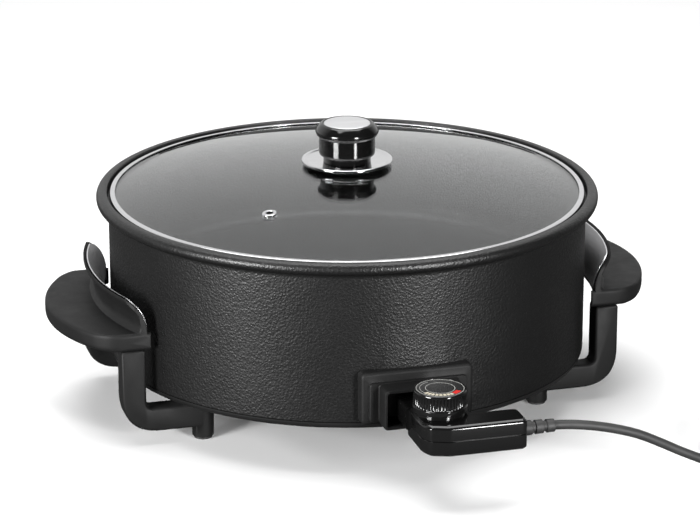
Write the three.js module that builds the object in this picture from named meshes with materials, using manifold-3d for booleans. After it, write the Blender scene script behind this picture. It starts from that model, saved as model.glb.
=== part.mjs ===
// Electric party pan: a deep round non-stick pan on two handle-and-leg frames, with a glass lid
// and a plug-in thermostat control. Millimetres, +Z up, standing on z = 0. The handles lie on the
// X axis and the control plugs in on the -Y side.
import * as THREE from 'three';
import { mergeVertices } from 'three/addons/utils/BufferGeometryUtils.js';
import Module from 'manifold-3d';

// ---- driving dimensions ----------------------------------------------------------------------
// Pan
const PAN_RADIUS = 200;            // outer face of the skirt
const GROUND_CLEARANCE = 40;       // table to the base cover
const PAN_HEIGHT = 141;            // base cover to the top of the rim
const UNDER_ROOM = 53;             // base cover to the cooking floor, for the element and terminals
const WALL = 3.5;
const FLOOR_THICKNESS = 5;
const RIM_OVERHANG = 10;
const RIM_HEIGHT = 10.5;
const LEDGE_DEPTH = 8;             // the lid sits in this rebate
const LID_PLAY = 2;                // radial play of the lid in the rebate
const FLOOR_FILLET = 12;
const BASE_EDGE_RADIUS = 5.7;      // rounded edge of the base cover
const BASE_SHEET = 1.5;
// Lid
const LID_INSET = 1.2;             // outer face of the skirt to the outer face of the steel ring
const RING_SHEET = 1;
const RING_BAND = 4.5;             // width of the ring seen from above
const GLASS_THICKNESS = 4;
const DOME_RISE = 22;
const GLASS_BORE_RADIUS = 4;
const VENT_X = -90;
const VENT_Y = -90;
const VENT_BORE_RADIUS = 5;
const VENT_FLANGE_RADIUS = 6.2;
// Lid knob
const PLATE_RADIUS = 38;
const PLATE_SHEET = 1.6;
const PLATE_DISH = 2.2;
const STEM_RADIUS = 23.6;
const WAIST_RADIUS = 20;
const CAP_RADIUS = 26.8;
const CAP_TOP_RADIUS = 20.8;
const KNOB_HEIGHT = 33;
const WAIST_HEIGHT = 5;
const INSERT_RADIUS = 19.6;
const INSERT_SHEET = 2;
const KNOB_SCREW_RADIUS = 2.5;
// Handle frames
const GRIP_REACH = 57;             // pan skirt to the outermost edge of a handle
const SHELF_RISE = 58;             // base cover to the top of the shelf
const SHELF_THICKNESS = 14.5;
const SHELF_END_MARGIN = 10;       // centre line of a leg to the end of the shelf
const SHELF_END_WIDTH = 34;        // straight end of the shelf, over the leg
const SHELF_GAP = 9;               // pan skirt to the inner edge of the shelf
const GUARD_HEIGHT = 28;           // above the shelf
const GUARD_FLARE = 11;            // how far the guard leans out at its top
const GUARD_CURVE = 1.4;           // 1 leans straight, 2 curls at the top
const GUARD_THICKNESS = 4;
const GUARD_CORNER = 13;
const SHIELD_SHEET = 1;
const LEG_WIDTH = 18;
const LEG_THICKNESS = 20;
const LEG_TUCK = 7;                // how far a leg's inner face lies inside the skirt's radius
const LEG_SCREW_INSET = 4.6;       // leg's inner face to the seat of its screw
const LEG_SPREAD = 77;             // centre line of a leg from the X axis
const ARM_HEIGHT = 20;
const ARM_DROP = 8;                // top of the arm to the base cover
const LEG_BEND = 32;               // outer radius of the leg's elbow
const FOOT_INSET = 55.4;           // skirt's radius to a foot's centre, along X
const FOOT_RADIUS = 9;
const PAD_RADIUS = 7.6;
const PAD_HEIGHT = 2;
const PAD_STEM_RADIUS = 5.4;
const PAD_STEM_HEIGHT = 6;
const TENON_THICKNESS = 6;
const TENON_WIDTH = 12;
const TENON_HEIGHT = 9.8;
// Socket
const FLANGE_HALF_WIDTH = 46;
const FLANGE_HEIGHT = 44;
const FLANGE_RISE = 7;             // base cover to the lower edge of the flange
const FLANGE_PROUD = 6;            // in front of the skirt
const SHROUD_HALF_WIDTH = 32.5;
const SHROUD_HEIGHT = 33;
const SHROUD_REACH = 19;           // in front of the flange
const SHROUD_WALL = 2.5;
const SHROUD_RISE = 2;             // lower edge of the flange to the shroud
const TERMINAL_SPACING = 26;
const TERMINAL_RADIUS = 2.5;
const TERMINAL_LENGTH = 37;
const BLOCK_HALF_WIDTH = 24;
const BLOCK_HEIGHT = 21;
const BLOCK_DEPTH = 17;
// Heating
const ELEMENT_INSET = 62;          // skirt's radius to the middle of the element
const ELEMENT_TUBE = 4;
const ELEMENT_DROP = 1;            // brazing gap under the floor
const ELEMENT_PLATE_WIDTH = 26;
const ELEMENT_PLATE_SHEET = 1.5;
const ELEMENT_OPENING = 0.42;      // half angle left open at the terminals, radians
const SENSOR_HALF_WIDTH = 8;
const SENSOR_LENGTH = 34;
const SENSOR_INSET = 48;           // skirt's radius to the sensor block's inner end
// Thermostat control
const BODY_RISE = 8;               // base cover to the body's underside
const BODY_HEIGHT = 25;
const BODY_LEFT = -18;
const BODY_RIGHT = 64;
const BODY_REACH = 89;             // skirt to the body's front
const BODY_CORNER = 24;            // rounded front left corner
const TAIL_WIDTH = 27;
const HEAD_RIGHT = 27;
const HEAD_STANDOFF = 33;          // skirt to the head's back
const BODY_WALL = 2.2;
const NOSE_HALF_WIDTH = 20.5;
const NOSE_STANDOFF = 14;          // skirt to the nose's tip
const NOSE_DROP = 6.5;             // the nose's underside above the body's
const DIAL_X = 3;
const DIAL_STANDOFF = 55;          // skirt to the dial's axis
const DIAL_RADIUS = 21.9;
const DIAL_HEIGHT = 17;
const DIAL_TOP_RADIUS = 21.1;
const COLLAR_HEIGHT = 2.5;
const FACE_RADIUS = 19.4;
const SHAFT_RADIUS = 4;
const PROBE_RADIUS = 3;
const PROBE_INSET = 44;            // skirt's radius to the probe's tip
const CONTACT_RADIUS = 4.2;
const CONTACT_LENGTH = 22;
// Cord
const CORD_RADIUS = 3.75;
const STRAIN_LENGTH = 28;
const STRAIN_RADIUS = 6;
const COIL_TURN_RADIUS = 42.5;     // middle of the turns
const COIL_X = 287;
const COIL_LEAD_IN = 27.2;         // end of the free run to the coil's axis
const TIE_SHEET = 0.9;
const TIE_WIDTH = 8;
const TIE_ANGLE = 2.2;
const PLUG_RADIUS = 18;
const PLUG_LENGTH = 40;
const PLUG_BOOT = 26;
const PLUG_LEAD = 58;              // coil's widest point to the plug's boot
const PLUG_PIN_RADIUS = 2.4;
const PLUG_PIN_LENGTH = 19;
const PLUG_PIN_SPACING = 19;
// Fits and screws
const GAP = 0.3;                   // between pieces that touch
const SLIDE = 0.6;                 // between pieces that slide or plug together
const SCREW_RADIUS = 2;
const SCREW_HEAD_RADIUS = 4.4;
const SMALL_SCREW_RADIUS = 1.5;
const SMALL_HEAD_RADIUS = 3;
const HEAD_HEIGHT = 2.2;
const ROUND = 56;                  // facets round the pan and lid, a multiple of four
const KNOB_ROUND = 20;             // facets round knobs
const PIN_ROUND = 10;              // facets round pins and bores
const SCREW_ROUND = 8;

// ---- heights and radii that follow -----------------------------------------------------------
const RIM_TOP = GROUND_CLEARANCE + PAN_HEIGHT;
const FLOOR_TOP = GROUND_CLEARANCE + UNDER_ROOM;
const FLOOR_UNDER = FLOOR_TOP - FLOOR_THICKNESS;
const SKIRT_EDGE = GROUND_CLEARANCE + BASE_EDGE_RADIUS + GAP;
const PAN_INSIDE = PAN_RADIUS - WALL;
const LEDGE_Z = RIM_TOP - LEDGE_DEPTH;
const LID_RADIUS = PAN_RADIUS - LID_INSET;
const LEDGE_RADIUS = LID_RADIUS + LID_PLAY;
const RIM_RADIUS = PAN_RADIUS + RIM_OVERHANG;
const RING_BOTTOM = LEDGE_Z + GAP;
const GLASS_BOTTOM = RING_BOTTOM + RING_SHEET + GAP;
const GLASS_EDGE_TOP = GLASS_BOTTOM + GLASS_THICKNESS;
const GLASS_RADIUS = LID_RADIUS - RING_SHEET - GAP;
const DOME_RADIUS = LID_RADIUS - RING_BAND - GAP;
const DOME_SPHERE = (DOME_RADIUS ** 2 + DOME_RISE ** 2) / (2 * DOME_RISE);
const GLASS_CENTRE_TOP = GLASS_EDGE_TOP + DOME_RISE;
const PLATE_BOTTOM = GLASS_CENTRE_TOP + GAP;
const KNOB_BOTTOM = PLATE_BOTTOM + PLATE_SHEET + GAP;
const KNOB_TOP = KNOB_BOTTOM + KNOB_HEIGHT;
const SHELF_REACH = PAN_RADIUS + GRIP_REACH;
const SHELF_TOP = GROUND_CLEARANCE + SHELF_RISE;
const SHELF_BOTTOM = SHELF_TOP - SHELF_THICKNESS;
const SHELF_RADIUS = PAN_RADIUS + SHELF_GAP;
const SHELF_HALF_LENGTH = LEG_SPREAD + SHELF_END_MARGIN;
const GUARD_TOP = SHELF_TOP + GUARD_HEIGHT;
const LEG_FACE = PAN_RADIUS - LEG_TUCK;
const FOOT_X = PAN_RADIUS - FOOT_INSET;
const ARM_TOP = GROUND_CLEARANCE - ARM_DROP;
const ARM_BOTTOM = ARM_TOP - ARM_HEIGHT;
const FLANGE_BOTTOM = GROUND_CLEARANCE + FLANGE_RISE;
const FLANGE_FRONT = -(PAN_RADIUS + FLANGE_PROUD);
const SHROUD_BOTTOM = FLANGE_BOTTOM + SHROUD_RISE;
const ELEMENT_RADIUS = PAN_RADIUS - ELEMENT_INSET;
const SENSOR_START = PAN_RADIUS - SENSOR_INSET;
const PROBE_TIP = PAN_RADIUS - PROBE_INSET;
const BODY_BOTTOM = GROUND_CLEARANCE + BODY_RISE;
const BODY_FRONT = -(PAN_RADIUS + BODY_REACH);
const HEAD_BACK = -(PAN_RADIUS + HEAD_STANDOFF);
const NOSE_BACK = -(PAN_RADIUS + NOSE_STANDOFF);
const DIAL_Y = -(PAN_RADIUS + DIAL_STANDOFF);
const NOSE_BOTTOM = BODY_BOTTOM + NOSE_DROP;
const BODY_TOP = BODY_BOTTOM + BODY_HEIGHT;
const TERMINAL_Z = (NOSE_BOTTOM + BODY_TOP) / 2;
const PARTING = BODY_BOTTOM + BODY_HEIGHT / 2;
const TAIL_Y = BODY_FRONT + TAIL_WIDTH / 2;
const DIAL_BOTTOM = BODY_TOP + COLLAR_HEIGHT + GAP;
const DIAL_TOP = DIAL_BOTTOM + DIAL_HEIGHT;
const CORD_DIAMETER = 2 * CORD_RADIUS;
const COIL_BOTTOM = TIE_SHEET + GAP;
const COIL_OUTER = COIL_TURN_RADIUS + CORD_DIAMETER;
const COIL_INNER = COIL_TURN_RADIUS - CORD_DIAMETER;
const COIL_Y = TAIL_Y + COIL_TURN_RADIUS + CORD_RADIUS;
const STRAIN_END = BODY_RIGHT + STRAIN_LENGTH;
const PLUG_X = COIL_X + COIL_TURN_RADIUS + CORD_RADIUS;
const PLUG_REAR = COIL_Y + PLUG_LEAD;
const SEAT = BASE_SHEET + 2 * GAP;

// Cord route from the strain relief to the coil: shares of the way along and of the way down.
const CORD_FALL = [
  [0, 0], [0.07, 0.02], [0.17, 0.07], [0.28, 0.15], [0.4, 0.27], [0.51, 0.43],
  [0.63, 0.62], [0.75, 0.79], [0.85, 0.91], [0.93, 0.98], [1, 1],
];
const CORD_START = STRAIN_END + 2 * GAP;
const CORD_REACH = COIL_X - COIL_LEAD_IN - CORD_START;
const CORD_DROP = PARTING - COIL_BOTTOM - CORD_RADIUS;
const CORD_ROUTE = CORD_FALL.map(([along, down]) =>
  [CORD_START + CORD_REACH * along, PARTING - CORD_DROP * down]);

// ---- materials -------------------------------------------------------------------------------
const finish = (color, roughness, metalness) =>
  new THREE.MeshStandardMaterial({ color, roughness, metalness });
const hammertone = finish(0x1c1c1d, 0.45, 0.1);
const smokedGlass = finish(0x7b7d7e, 0.08, 0);
const brightSteel = finish(0xd8d9da, 0.18, 1);
const satinSteel = finish(0xb9babb, 0.35, 1);
const satinBlack = finish(0x242426, 0.42, 0);
const glossBlack = finish(0x0c0c0d, 0.12, 0);
const rubber = finish(0x1a1a1b, 0.75, 0);
const castAluminium = finish(0x9b9c9d, 0.5, 0.9);
const ceramic = finish(0xded8c8, 0.6, 0);
const nickel = finish(0xc9c6bd, 0.25, 1);
const brass = finish(0xc7a252, 0.3, 1);
const dialPrint = finish(0x1a1a1a, 0.3, 0);

// ---- solids ----------------------------------------------------------------------------------
const wasm = await Module();
wasm.setup();

function weld(geometry) {
  const bare = geometry.clone();
  bare.deleteAttribute('normal');
  bare.deleteAttribute('uv');
  return mergeVertices(bare, 1e-4);
}

function toSolid(geometry) {
  const merged = weld(geometry);
  const index = merged.index.array;
  const corners = [];
  for (let i = 0; i < index.length; i += 3) {
    const [a, b, c] = [index[i], index[i + 1], index[i + 2]];
    if (a !== b && b !== c && c !== a) corners.push(a, b, c);
  }
  const mesh = new wasm.Mesh({
    numProp: 3,
    vertProperties: new Float32Array(merged.attributes.position.array),
    triVerts: new Uint32Array(corners),
  });
  return new wasm.Manifold(mesh);
}

function toGeometry(solid) {
  const mesh = solid.getMesh();
  const geometry = new THREE.BufferGeometry();
  geometry.setAttribute('position', new THREE.BufferAttribute(new Float32Array(mesh.vertProperties), 3));
  geometry.setIndex(new THREE.BufferAttribute(new Uint32Array(mesh.triVerts), 1));
  geometry.computeVertexNormals();
  return geometry;
}

const cut = (body, ...tools) => toGeometry(tools.reduce((s, t) => s.subtract(toSolid(t)), toSolid(body)));
const join = (body, ...others) => toGeometry(others.reduce((s, o) => s.add(toSolid(o)), toSolid(body)));
const keepInside = (body, limit) => toGeometry(toSolid(body).intersect(toSolid(limit)));

// A solid of revolution about +Z from a closed outline of [radius, height] points.
function revolve(outline, facets) {
  let area = 0;
  outline.forEach(([r, z], i) => {
    const [nextR, nextZ] = outline[(i + 1) % outline.length];
    area += r * nextZ - nextR * z;
  });
  const ordered = area > 0 ? outline : [...outline].reverse();
  const onAxis = ordered.some(([r]) => r === 0);
  let loop = ordered;
  if (onAxis) {
    const start = ordered.findIndex(([r], i) => r === 0 && ordered[(i + 1) % ordered.length][0] > 0);
    loop = [...ordered.slice(start), ...ordered.slice(0, start)];
  } else {
    loop = [...ordered, ordered[0]];
  }
  const profile = loop.map(([r, z]) => new THREE.Vector2(r, z));
  return new THREE.LatheGeometry(profile, facets).rotateX(Math.PI / 2);
}

// Points along an arc in the (radius, height) plane, both ends included.
function arcPoints(centreR, centreZ, radius, from, to, steps) {
  return Array.from({ length: steps + 1 }, (_, i) => {
    const angle = from + (to - from) * i / steps;
    return [centreR + radius * Math.cos(angle), centreZ + radius * Math.sin(angle)];
  });
}

// A round bar from one point to another along X, Y or Z.
function bar(axis, radius, from, to, a, b, facets = PIN_ROUND) {
  const length = Math.abs(to - from);
  const middle = (from + to) / 2;
  const geometry = new THREE.CylinderGeometry(radius, radius, length, facets);
  if (axis === 'x') return geometry.rotateZ(Math.PI / 2).translate(middle, a, b);
  if (axis === 'y') return geometry.translate(a, middle, b);
  return geometry.rotateX(Math.PI / 2).translate(a, b, middle);
}

// A box between two corners.
function block(x0, x1, y0, y1, z0, z1) {
  return new THREE.BoxGeometry(x1 - x0, y1 - y0, z1 - z0)
    .translate((x0 + x1) / 2, (y0 + y1) / 2, (z0 + z1) / 2);
}

// A closed outline whose corners [x, y, radius] are rounded.
function roundedOutline(corners, Kind = THREE.Shape) {
  const outline = new Kind();
  corners.forEach(([x, y, radius], i) => {
    const here = new THREE.Vector2(x, y);
    const [px, py] = corners[(i + corners.length - 1) % corners.length];
    const [nx, ny] = corners[(i + 1) % corners.length];
    const enter = here.clone().add(new THREE.Vector2(px - x, py - y).setLength(radius));
    const leave = here.clone().add(new THREE.Vector2(nx - x, ny - y).setLength(radius));
    if (i === 0) outline.moveTo(enter.x, enter.y);
    else outline.lineTo(enter.x, enter.y);
    if (radius > 0) outline.quadraticCurveTo(x, y, leave.x, leave.y);
  });
  outline.closePath();
  return outline;
}

const roundedRect = (x0, x1, y0, y1, r, Kind) =>
  roundedOutline([[x0, y0, r], [x1, y0, r], [x1, y1, r], [x0, y1, r]], Kind);

// An upright prism from z0 to z1, its top and bottom edges eased by the bevel.
function prism(outline, z0, z1, bevel = 0, curveSegments = 5) {
  return new THREE.ExtrudeGeometry(outline, {
    depth: z1 - z0 - 2 * bevel,
    bevelEnabled: bevel > 0,
    bevelThickness: bevel,
    bevelSize: bevel,
    bevelOffset: -bevel,
    bevelSegments: 1,
    curveSegments,
  }).translate(0, 0, z0 + bevel);
}

// A prism along Y of an outline drawn in X and Z.
const prismAlongY = (outline, y0, y1, bevel, curveSegments) =>
  prism(outline, -y1, -y0, bevel, curveSegments).rotateX(Math.PI / 2);

// A prism along X of an outline drawn in Y and Z.
const prismAlongX = (outline, x0, x1, bevel, curveSegments) =>
  prism(outline, x0, x1, bevel, curveSegments).rotateX(Math.PI / 2).rotateZ(Math.PI / 2);

// The same solid on the other side: sx and sy are 1 or -1.
function mirrored(geometry, sx, sy) {
  const copy = weld(geometry);
  copy.scale(sx, sy, 1);
  if (sx * sy < 0) {
    const index = copy.index.array;
    for (let i = 0; i < index.length; i += 3) [index[i], index[i + 1]] = [index[i + 1], index[i]];
  }
  copy.computeVertexNormals();
  return copy;
}

// A screw along +Z: head from z = 0 down, shank upwards.
function screw(headRadius, shankRadius, length) {
  return revolve([
    [0, -HEAD_HEIGHT], [headRadius, -HEAD_HEIGHT], [headRadius, 0], [shankRadius, 0],
    [shankRadius, length], [0, length],
  ], SCREW_ROUND);
}

const object = new THREE.Group();
object.name = 'electric_party_pan';

function add(name, geometry, material) {
  const mesh = new THREE.Mesh(geometry, material);
  mesh.name = name;
  object.add(mesh);
  return mesh;
}

// ---- pan, base cover and heating -------------------------------------------------------------
const footPlaces = [[1, 1], [-1, 1], [1, -1], [-1, -1]];

function panShell() {
  const rimMiddle = RIM_TOP - RIM_HEIGHT / 2;
  const half = RIM_HEIGHT / 2;
  const outline = [
    [0, FLOOR_UNDER], [PAN_INSIDE, FLOOR_UNDER], [PAN_INSIDE, SKIRT_EDGE], [PAN_RADIUS, SKIRT_EDGE],
    [PAN_RADIUS, RIM_TOP - RIM_HEIGHT - 3], [PAN_RADIUS + 1.2, RIM_TOP - RIM_HEIGHT],
    ...arcPoints(RIM_RADIUS - half, rimMiddle, half, -Math.PI * 0.42, Math.PI * 0.5, 4),
    [LEDGE_RADIUS + 1.2, RIM_TOP], [LEDGE_RADIUS, RIM_TOP - 1.2], [LEDGE_RADIUS, LEDGE_Z],
    [PAN_INSIDE, LEDGE_Z],
    ...arcPoints(PAN_INSIDE - FLOOR_FILLET, FLOOR_TOP + FLOOR_FILLET, FLOOR_FILLET, 0, -Math.PI / 2, 3),
    [0, FLOOR_TOP],
  ];
  const bosses = footPlaces.map(([sx, sy]) =>
    bar('z', FOOT_RADIUS, GROUND_CLEARANCE + SEAT, FLOOR_UNDER + 1, sx * FOOT_X, sy * LEG_SPREAD));
  const bores = footPlaces.map(([sx, sy]) =>
    bar('z', SCREW_RADIUS + GAP, GROUND_CLEARANCE, FLOOR_UNDER - 20, sx * FOOT_X, sy * LEG_SPREAD));
  const window = block(-BLOCK_HALF_WIDTH - SLIDE, BLOCK_HALF_WIDTH + SLIDE, -PAN_RADIUS - 1,
    -PAN_INSIDE + 4, TERMINAL_Z - BLOCK_HEIGHT / 2 - SLIDE, TERMINAL_Z + BLOCK_HEIGHT / 2 + SLIDE);
  const screwHoles = [-1, 1].map((side) => bar('y', SMALL_SCREW_RADIUS + GAP, -PAN_RADIUS - 1,
    -PAN_INSIDE + 12, side * socketScrewX, socketScrewZ));
  return cut(join(revolve(outline, ROUND), ...bosses), ...bores, window, ...screwHoles);
}

// The bottom closes with a shallow dish whose rounded edge shows below the skirt.
function baseCover() {
  const r = BASE_EDGE_RADIUS;
  const inner = r - BASE_SHEET;
  const centreR = PAN_RADIUS - r;
  const centreZ = GROUND_CLEARANCE + r;
  const outline = [
    [0, GROUND_CLEARANCE],
    ...arcPoints(centreR, centreZ, r, -Math.PI / 2, 0, 3),
    ...arcPoints(centreR, centreZ, inner, 0, -Math.PI / 2, 2),
    [0, GROUND_CLEARANCE + BASE_SHEET],
  ];
  const holes = footPlaces.map(([sx, sy]) => bar('z', SCREW_RADIUS + GAP, GROUND_CLEARANCE - 1,
    GROUND_CLEARANCE + BASE_SHEET + 1, sx * FOOT_X, sy * LEG_SPREAD));
  return cut(revolve(outline, ROUND), ...holes);
}

// The element is one loop under the floor whose cold ends drop to the terminals.
const elementZ = FLOOR_UNDER - ELEMENT_DROP - ELEMENT_TUBE;
const terminalFront = -(PAN_RADIUS + SHROUD_REACH + FLANGE_PROUD - 3);
const terminalRear = terminalFront + TERMINAL_LENGTH;
const terminalX = TERMINAL_SPACING / 2;

function heatingElement() {
  const points = [
    new THREE.Vector3(-terminalX, terminalRear + GAP, TERMINAL_Z),
    new THREE.Vector3(-terminalX, terminalRear + 12, TERMINAL_Z),
  ];
  const turns = 30;
  for (let i = 0; i <= turns; i += 1) {
    const angle = -Math.PI / 2 - 0.3 - (2 * Math.PI - 0.6) * i / turns;
    const x = ELEMENT_RADIUS * Math.cos(angle);
    points.push(new THREE.Vector3(x, ELEMENT_RADIUS * Math.sin(angle), elementZ));
  }
  points.push(
    new THREE.Vector3(terminalX, terminalRear + 12, TERMINAL_Z),
    new THREE.Vector3(terminalX, terminalRear + GAP, TERMINAL_Z),
  );
  const path = new THREE.CatmullRomCurve3(points, false, 'centripetal');
  return new THREE.ExtrudeGeometry(circleShape(ELEMENT_TUBE, 6), { extrudePath: path, steps: 60 });
}

function circleShape(radius, sides) {
  const points = Array.from({ length: sides }, (_, i) => {
    const angle = 2 * Math.PI * i / sides;
    return new THREE.Vector2(radius * Math.cos(angle), radius * Math.sin(angle));
  });
  return new THREE.Shape(points);
}

// A pressed plate holds the loop against the floor; it is open at the terminals.
function elementPlate() {
  const from = -Math.PI / 2 + ELEMENT_OPENING;
  const to = 1.5 * Math.PI - ELEMENT_OPENING;
  const outline = new THREE.Shape();
  outline.absarc(0, 0, ELEMENT_RADIUS + ELEMENT_PLATE_WIDTH / 2, from, to, false);
  outline.absarc(0, 0, ELEMENT_RADIUS - ELEMENT_PLATE_WIDTH / 2, to, from, true);
  const top = elementZ - ELEMENT_TUBE - GAP;
  const plate = prism(outline, top - ELEMENT_PLATE_SHEET, top, 0, 20);
  const reliefs = footPlaces.map(([sx, sy]) => bar('z', FOOT_RADIUS + GAP + 1, top - 5, top + 5,
    sx * FOOT_X, sy * LEG_SPREAD));
  return cut(plate, ...reliefs);
}

function sensorBlock() {
  const body = block(-SENSOR_HALF_WIDTH, SENSOR_HALF_WIDTH, -SENSOR_START - SENSOR_LENGTH, -SENSOR_START,
    TERMINAL_Z - SENSOR_HALF_WIDTH, FLOOR_UNDER - GAP);
  return cut(body, bar('y', PROBE_RADIUS + SLIDE, -SENSOR_START - SENSOR_LENGTH - 1, -SENSOR_START + 1,
    0, TERMINAL_Z));
}

// ---- socket ----------------------------------------------------------------------------------
const socketScrewX = FLANGE_HALF_WIDTH - 6;
const socketScrewZ = TERMINAL_Z;
const blockFront = FLANGE_FRONT;

function socketHousing() {
  const flangeOutline = roundedRect(-FLANGE_HALF_WIDTH, FLANGE_HALF_WIDTH, FLANGE_BOTTOM,
    FLANGE_BOTTOM + FLANGE_HEIGHT, 4);
  const stepOutline = roundedRect(-FLANGE_HALF_WIDTH + 6, FLANGE_HALF_WIDTH - 6, FLANGE_BOTTOM + 1,
    SHROUD_BOTTOM + SHROUD_HEIGHT + 1, 3);
  const shroudOutline = roundedRect(-SHROUD_HALF_WIDTH, SHROUD_HALF_WIDTH, SHROUD_BOTTOM,
    SHROUD_BOTTOM + SHROUD_HEIGHT, 3);
  const front = FLANGE_FRONT - SHROUD_REACH;
  const cavity = roundedRect(-SHROUD_HALF_WIDTH + SHROUD_WALL, SHROUD_HALF_WIDTH - SHROUD_WALL,
    SHROUD_BOTTOM + SHROUD_WALL, SHROUD_BOTTOM + SHROUD_HEIGHT - SHROUD_WALL, 2);
  const solid = join(
    prismAlongY(flangeOutline, FLANGE_FRONT, -PAN_RADIUS + 12, 1.5),
    prismAlongY(stepOutline, FLANGE_FRONT - 3, FLANGE_FRONT + 4, 1),
    prismAlongY(shroudOutline, front, FLANGE_FRONT + 2, 0.8),
  );
  const skirtFace = bar('z', PAN_RADIUS + GAP, 0, RIM_TOP, 0, 0, ROUND);
  const opening = block(-BLOCK_HALF_WIDTH - GAP, BLOCK_HALF_WIDTH + GAP, FLANGE_FRONT - 2, -PAN_INSIDE,
    TERMINAL_Z - BLOCK_HEIGHT / 2 - GAP, TERMINAL_Z + BLOCK_HEIGHT / 2 + GAP);
  const screwBores = [-1, 1].map((side) => bar('y', SMALL_SCREW_RADIUS + GAP, FLANGE_FRONT + 2,
    -PAN_RADIUS + 14, side * socketScrewX, socketScrewZ));
  return cut(solid, skirtFace, prismAlongY(cavity, front - 1, FLANGE_FRONT), opening, ...screwBores);
}

// The ceramic block fills the window and carries the terminals; the probe passes its middle.
function terminalBlock() {
  const body = block(-BLOCK_HALF_WIDTH, BLOCK_HALF_WIDTH, blockFront, blockFront + BLOCK_DEPTH,
    TERMINAL_Z - BLOCK_HEIGHT / 2, TERMINAL_Z + BLOCK_HEIGHT / 2);
  const bores = [-terminalX, terminalX].map((x) => bar('y', TERMINAL_RADIUS + GAP, blockFront - 1,
    blockFront + BLOCK_DEPTH + 1, x, TERMINAL_Z));
  const probeHole = bar('y', PROBE_RADIUS + SLIDE, blockFront - 1, blockFront + BLOCK_DEPTH + 1,
    0, TERMINAL_Z);
  return cut(body, ...bores, probeHole);
}

function terminalPin() {
  return revolve([
    [0, 0], [TERMINAL_RADIUS - 1, 0], [TERMINAL_RADIUS, 1.2], [TERMINAL_RADIUS, TERMINAL_LENGTH],
    [0, TERMINAL_LENGTH],
  ], SCREW_ROUND).rotateX(-Math.PI / 2).translate(0, terminalFront, 0);
}

// ---- handle frames ---------------------------------------------------------------------------
// Radius of the guard's inner face at a height: plumb along the shelf, leaning out above it.
function guardRadius(z) {
  const share = Math.max(0, (z - SHELF_TOP) / GUARD_HEIGHT);
  return SHELF_RADIUS + GUARD_FLARE * share ** GUARD_CURVE;
}

function guardBand(inset, thickness, z0, z1) {
  const steps = 4;
  const leaning = Array.from({ length: steps + 1 }, (_, i) => SHELF_TOP + (z1 - SHELF_TOP) * i / steps);
  const heights = [z0, ...leaning];
  const inner = heights.map((z) => [guardRadius(z) + inset, z]);
  const outer = heights.map((z) => [guardRadius(z) + inset + thickness, z]).reverse();
  return revolve([...inner, ...outer], ROUND);
}

// What a guard or shield keeps of its full ring: one side, with rounded upper corners.
function guardWindow(halfLength, z0, z1) {
  const outline = roundedOutline([[-halfLength, z0, 0], [halfLength, z0, 0], [halfLength, z1, GUARD_CORNER],
    [-halfLength, z1, GUARD_CORNER]]);
  return prismAlongX(outline, PAN_RADIUS * 0.6, SHELF_REACH + GUARD_FLARE, 0, 6);
}

function shelfOutline() {
  const endX = Math.sqrt(SHELF_RADIUS ** 2 - SHELF_HALF_LENGTH ** 2);
  const tipX = endX + SHELF_END_WIDTH;
  const sagitta = SHELF_REACH - tipX;
  const radius = (SHELF_HALF_LENGTH ** 2 + sagitta ** 2) / (2 * sagitta);
  const swing = Math.asin(SHELF_HALF_LENGTH / radius);
  const inner = Math.asin(SHELF_HALF_LENGTH / SHELF_RADIUS);
  const outline = new THREE.Shape();
  outline.absarc(SHELF_REACH - radius, 0, radius, -swing, swing, false);
  outline.absarc(0, 0, SHELF_RADIUS, inner, -inner, true);
  outline.closePath();
  return outline;
}

const tenonX = LEG_FACE + LEG_THICKNESS / 2 + 1;
const legScrewZ = SHELF_BOTTOM + 5;
const legScrewSeat = LEG_FACE + LEG_SCREW_INSET;
const shieldScrewZ = SHELF_TOP - SHELF_THICKNESS / 2 + 2;

function grip() {
  const shelf = prism(shelfOutline(), SHELF_BOTTOM, SHELF_TOP, 2, 8);
  const guard = keepInside(guardBand(0, GUARD_THICKNESS, SHELF_BOTTOM + 2, GUARD_TOP),
    guardWindow(SHELF_HALF_LENGTH - 1, SHELF_BOTTOM, GUARD_TOP));
  const play = GAP + 0.1;
  const tools = [];
  [-1, 1].forEach((side) => {
    const y = side * LEG_SPREAD;
    tools.push(block(tenonX - TENON_THICKNESS / 2 - play, tenonX + TENON_THICKNESS / 2 + play,
      y - TENON_WIDTH / 2 - play, y + TENON_WIDTH / 2 + play, SHELF_BOTTOM - 1, SHELF_BOTTOM + TENON_HEIGHT));
    tools.push(bar('x', SMALL_HEAD_RADIUS + GAP, LEG_FACE - 12, legScrewSeat + GAP, y, legScrewZ));
    tools.push(bar('x', SMALL_SCREW_RADIUS + GAP, LEG_FACE - 2, tenonX + 8, y, legScrewZ));
  });
  tools.push(bar('x', SMALL_SCREW_RADIUS + GAP, SHELF_RADIUS - 3, SHELF_RADIUS + 12, 0, shieldScrewZ));
  return cut(join(shelf, guard), ...tools);
}

function heatShield() {
  const sheet = keepInside(guardBand(-GAP - SHIELD_SHEET, SHIELD_SHEET, SHELF_BOTTOM + 4.5, GUARD_TOP - 0.6),
    guardWindow(SHELF_HALF_LENGTH - 1.6, SHELF_BOTTOM, GUARD_TOP - 0.6));
  const notches = [-1, 1].map((side) => bar('x', SMALL_HEAD_RADIUS + 1, PAN_RADIUS * 0.6, SHELF_RADIUS,
    side * LEG_SPREAD, legScrewZ));
  return cut(sheet, bar('x', SMALL_SCREW_RADIUS + GAP, SHELF_RADIUS - 6, SHELF_RADIUS + 6, 0, shieldScrewZ),
    ...notches);
}

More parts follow.
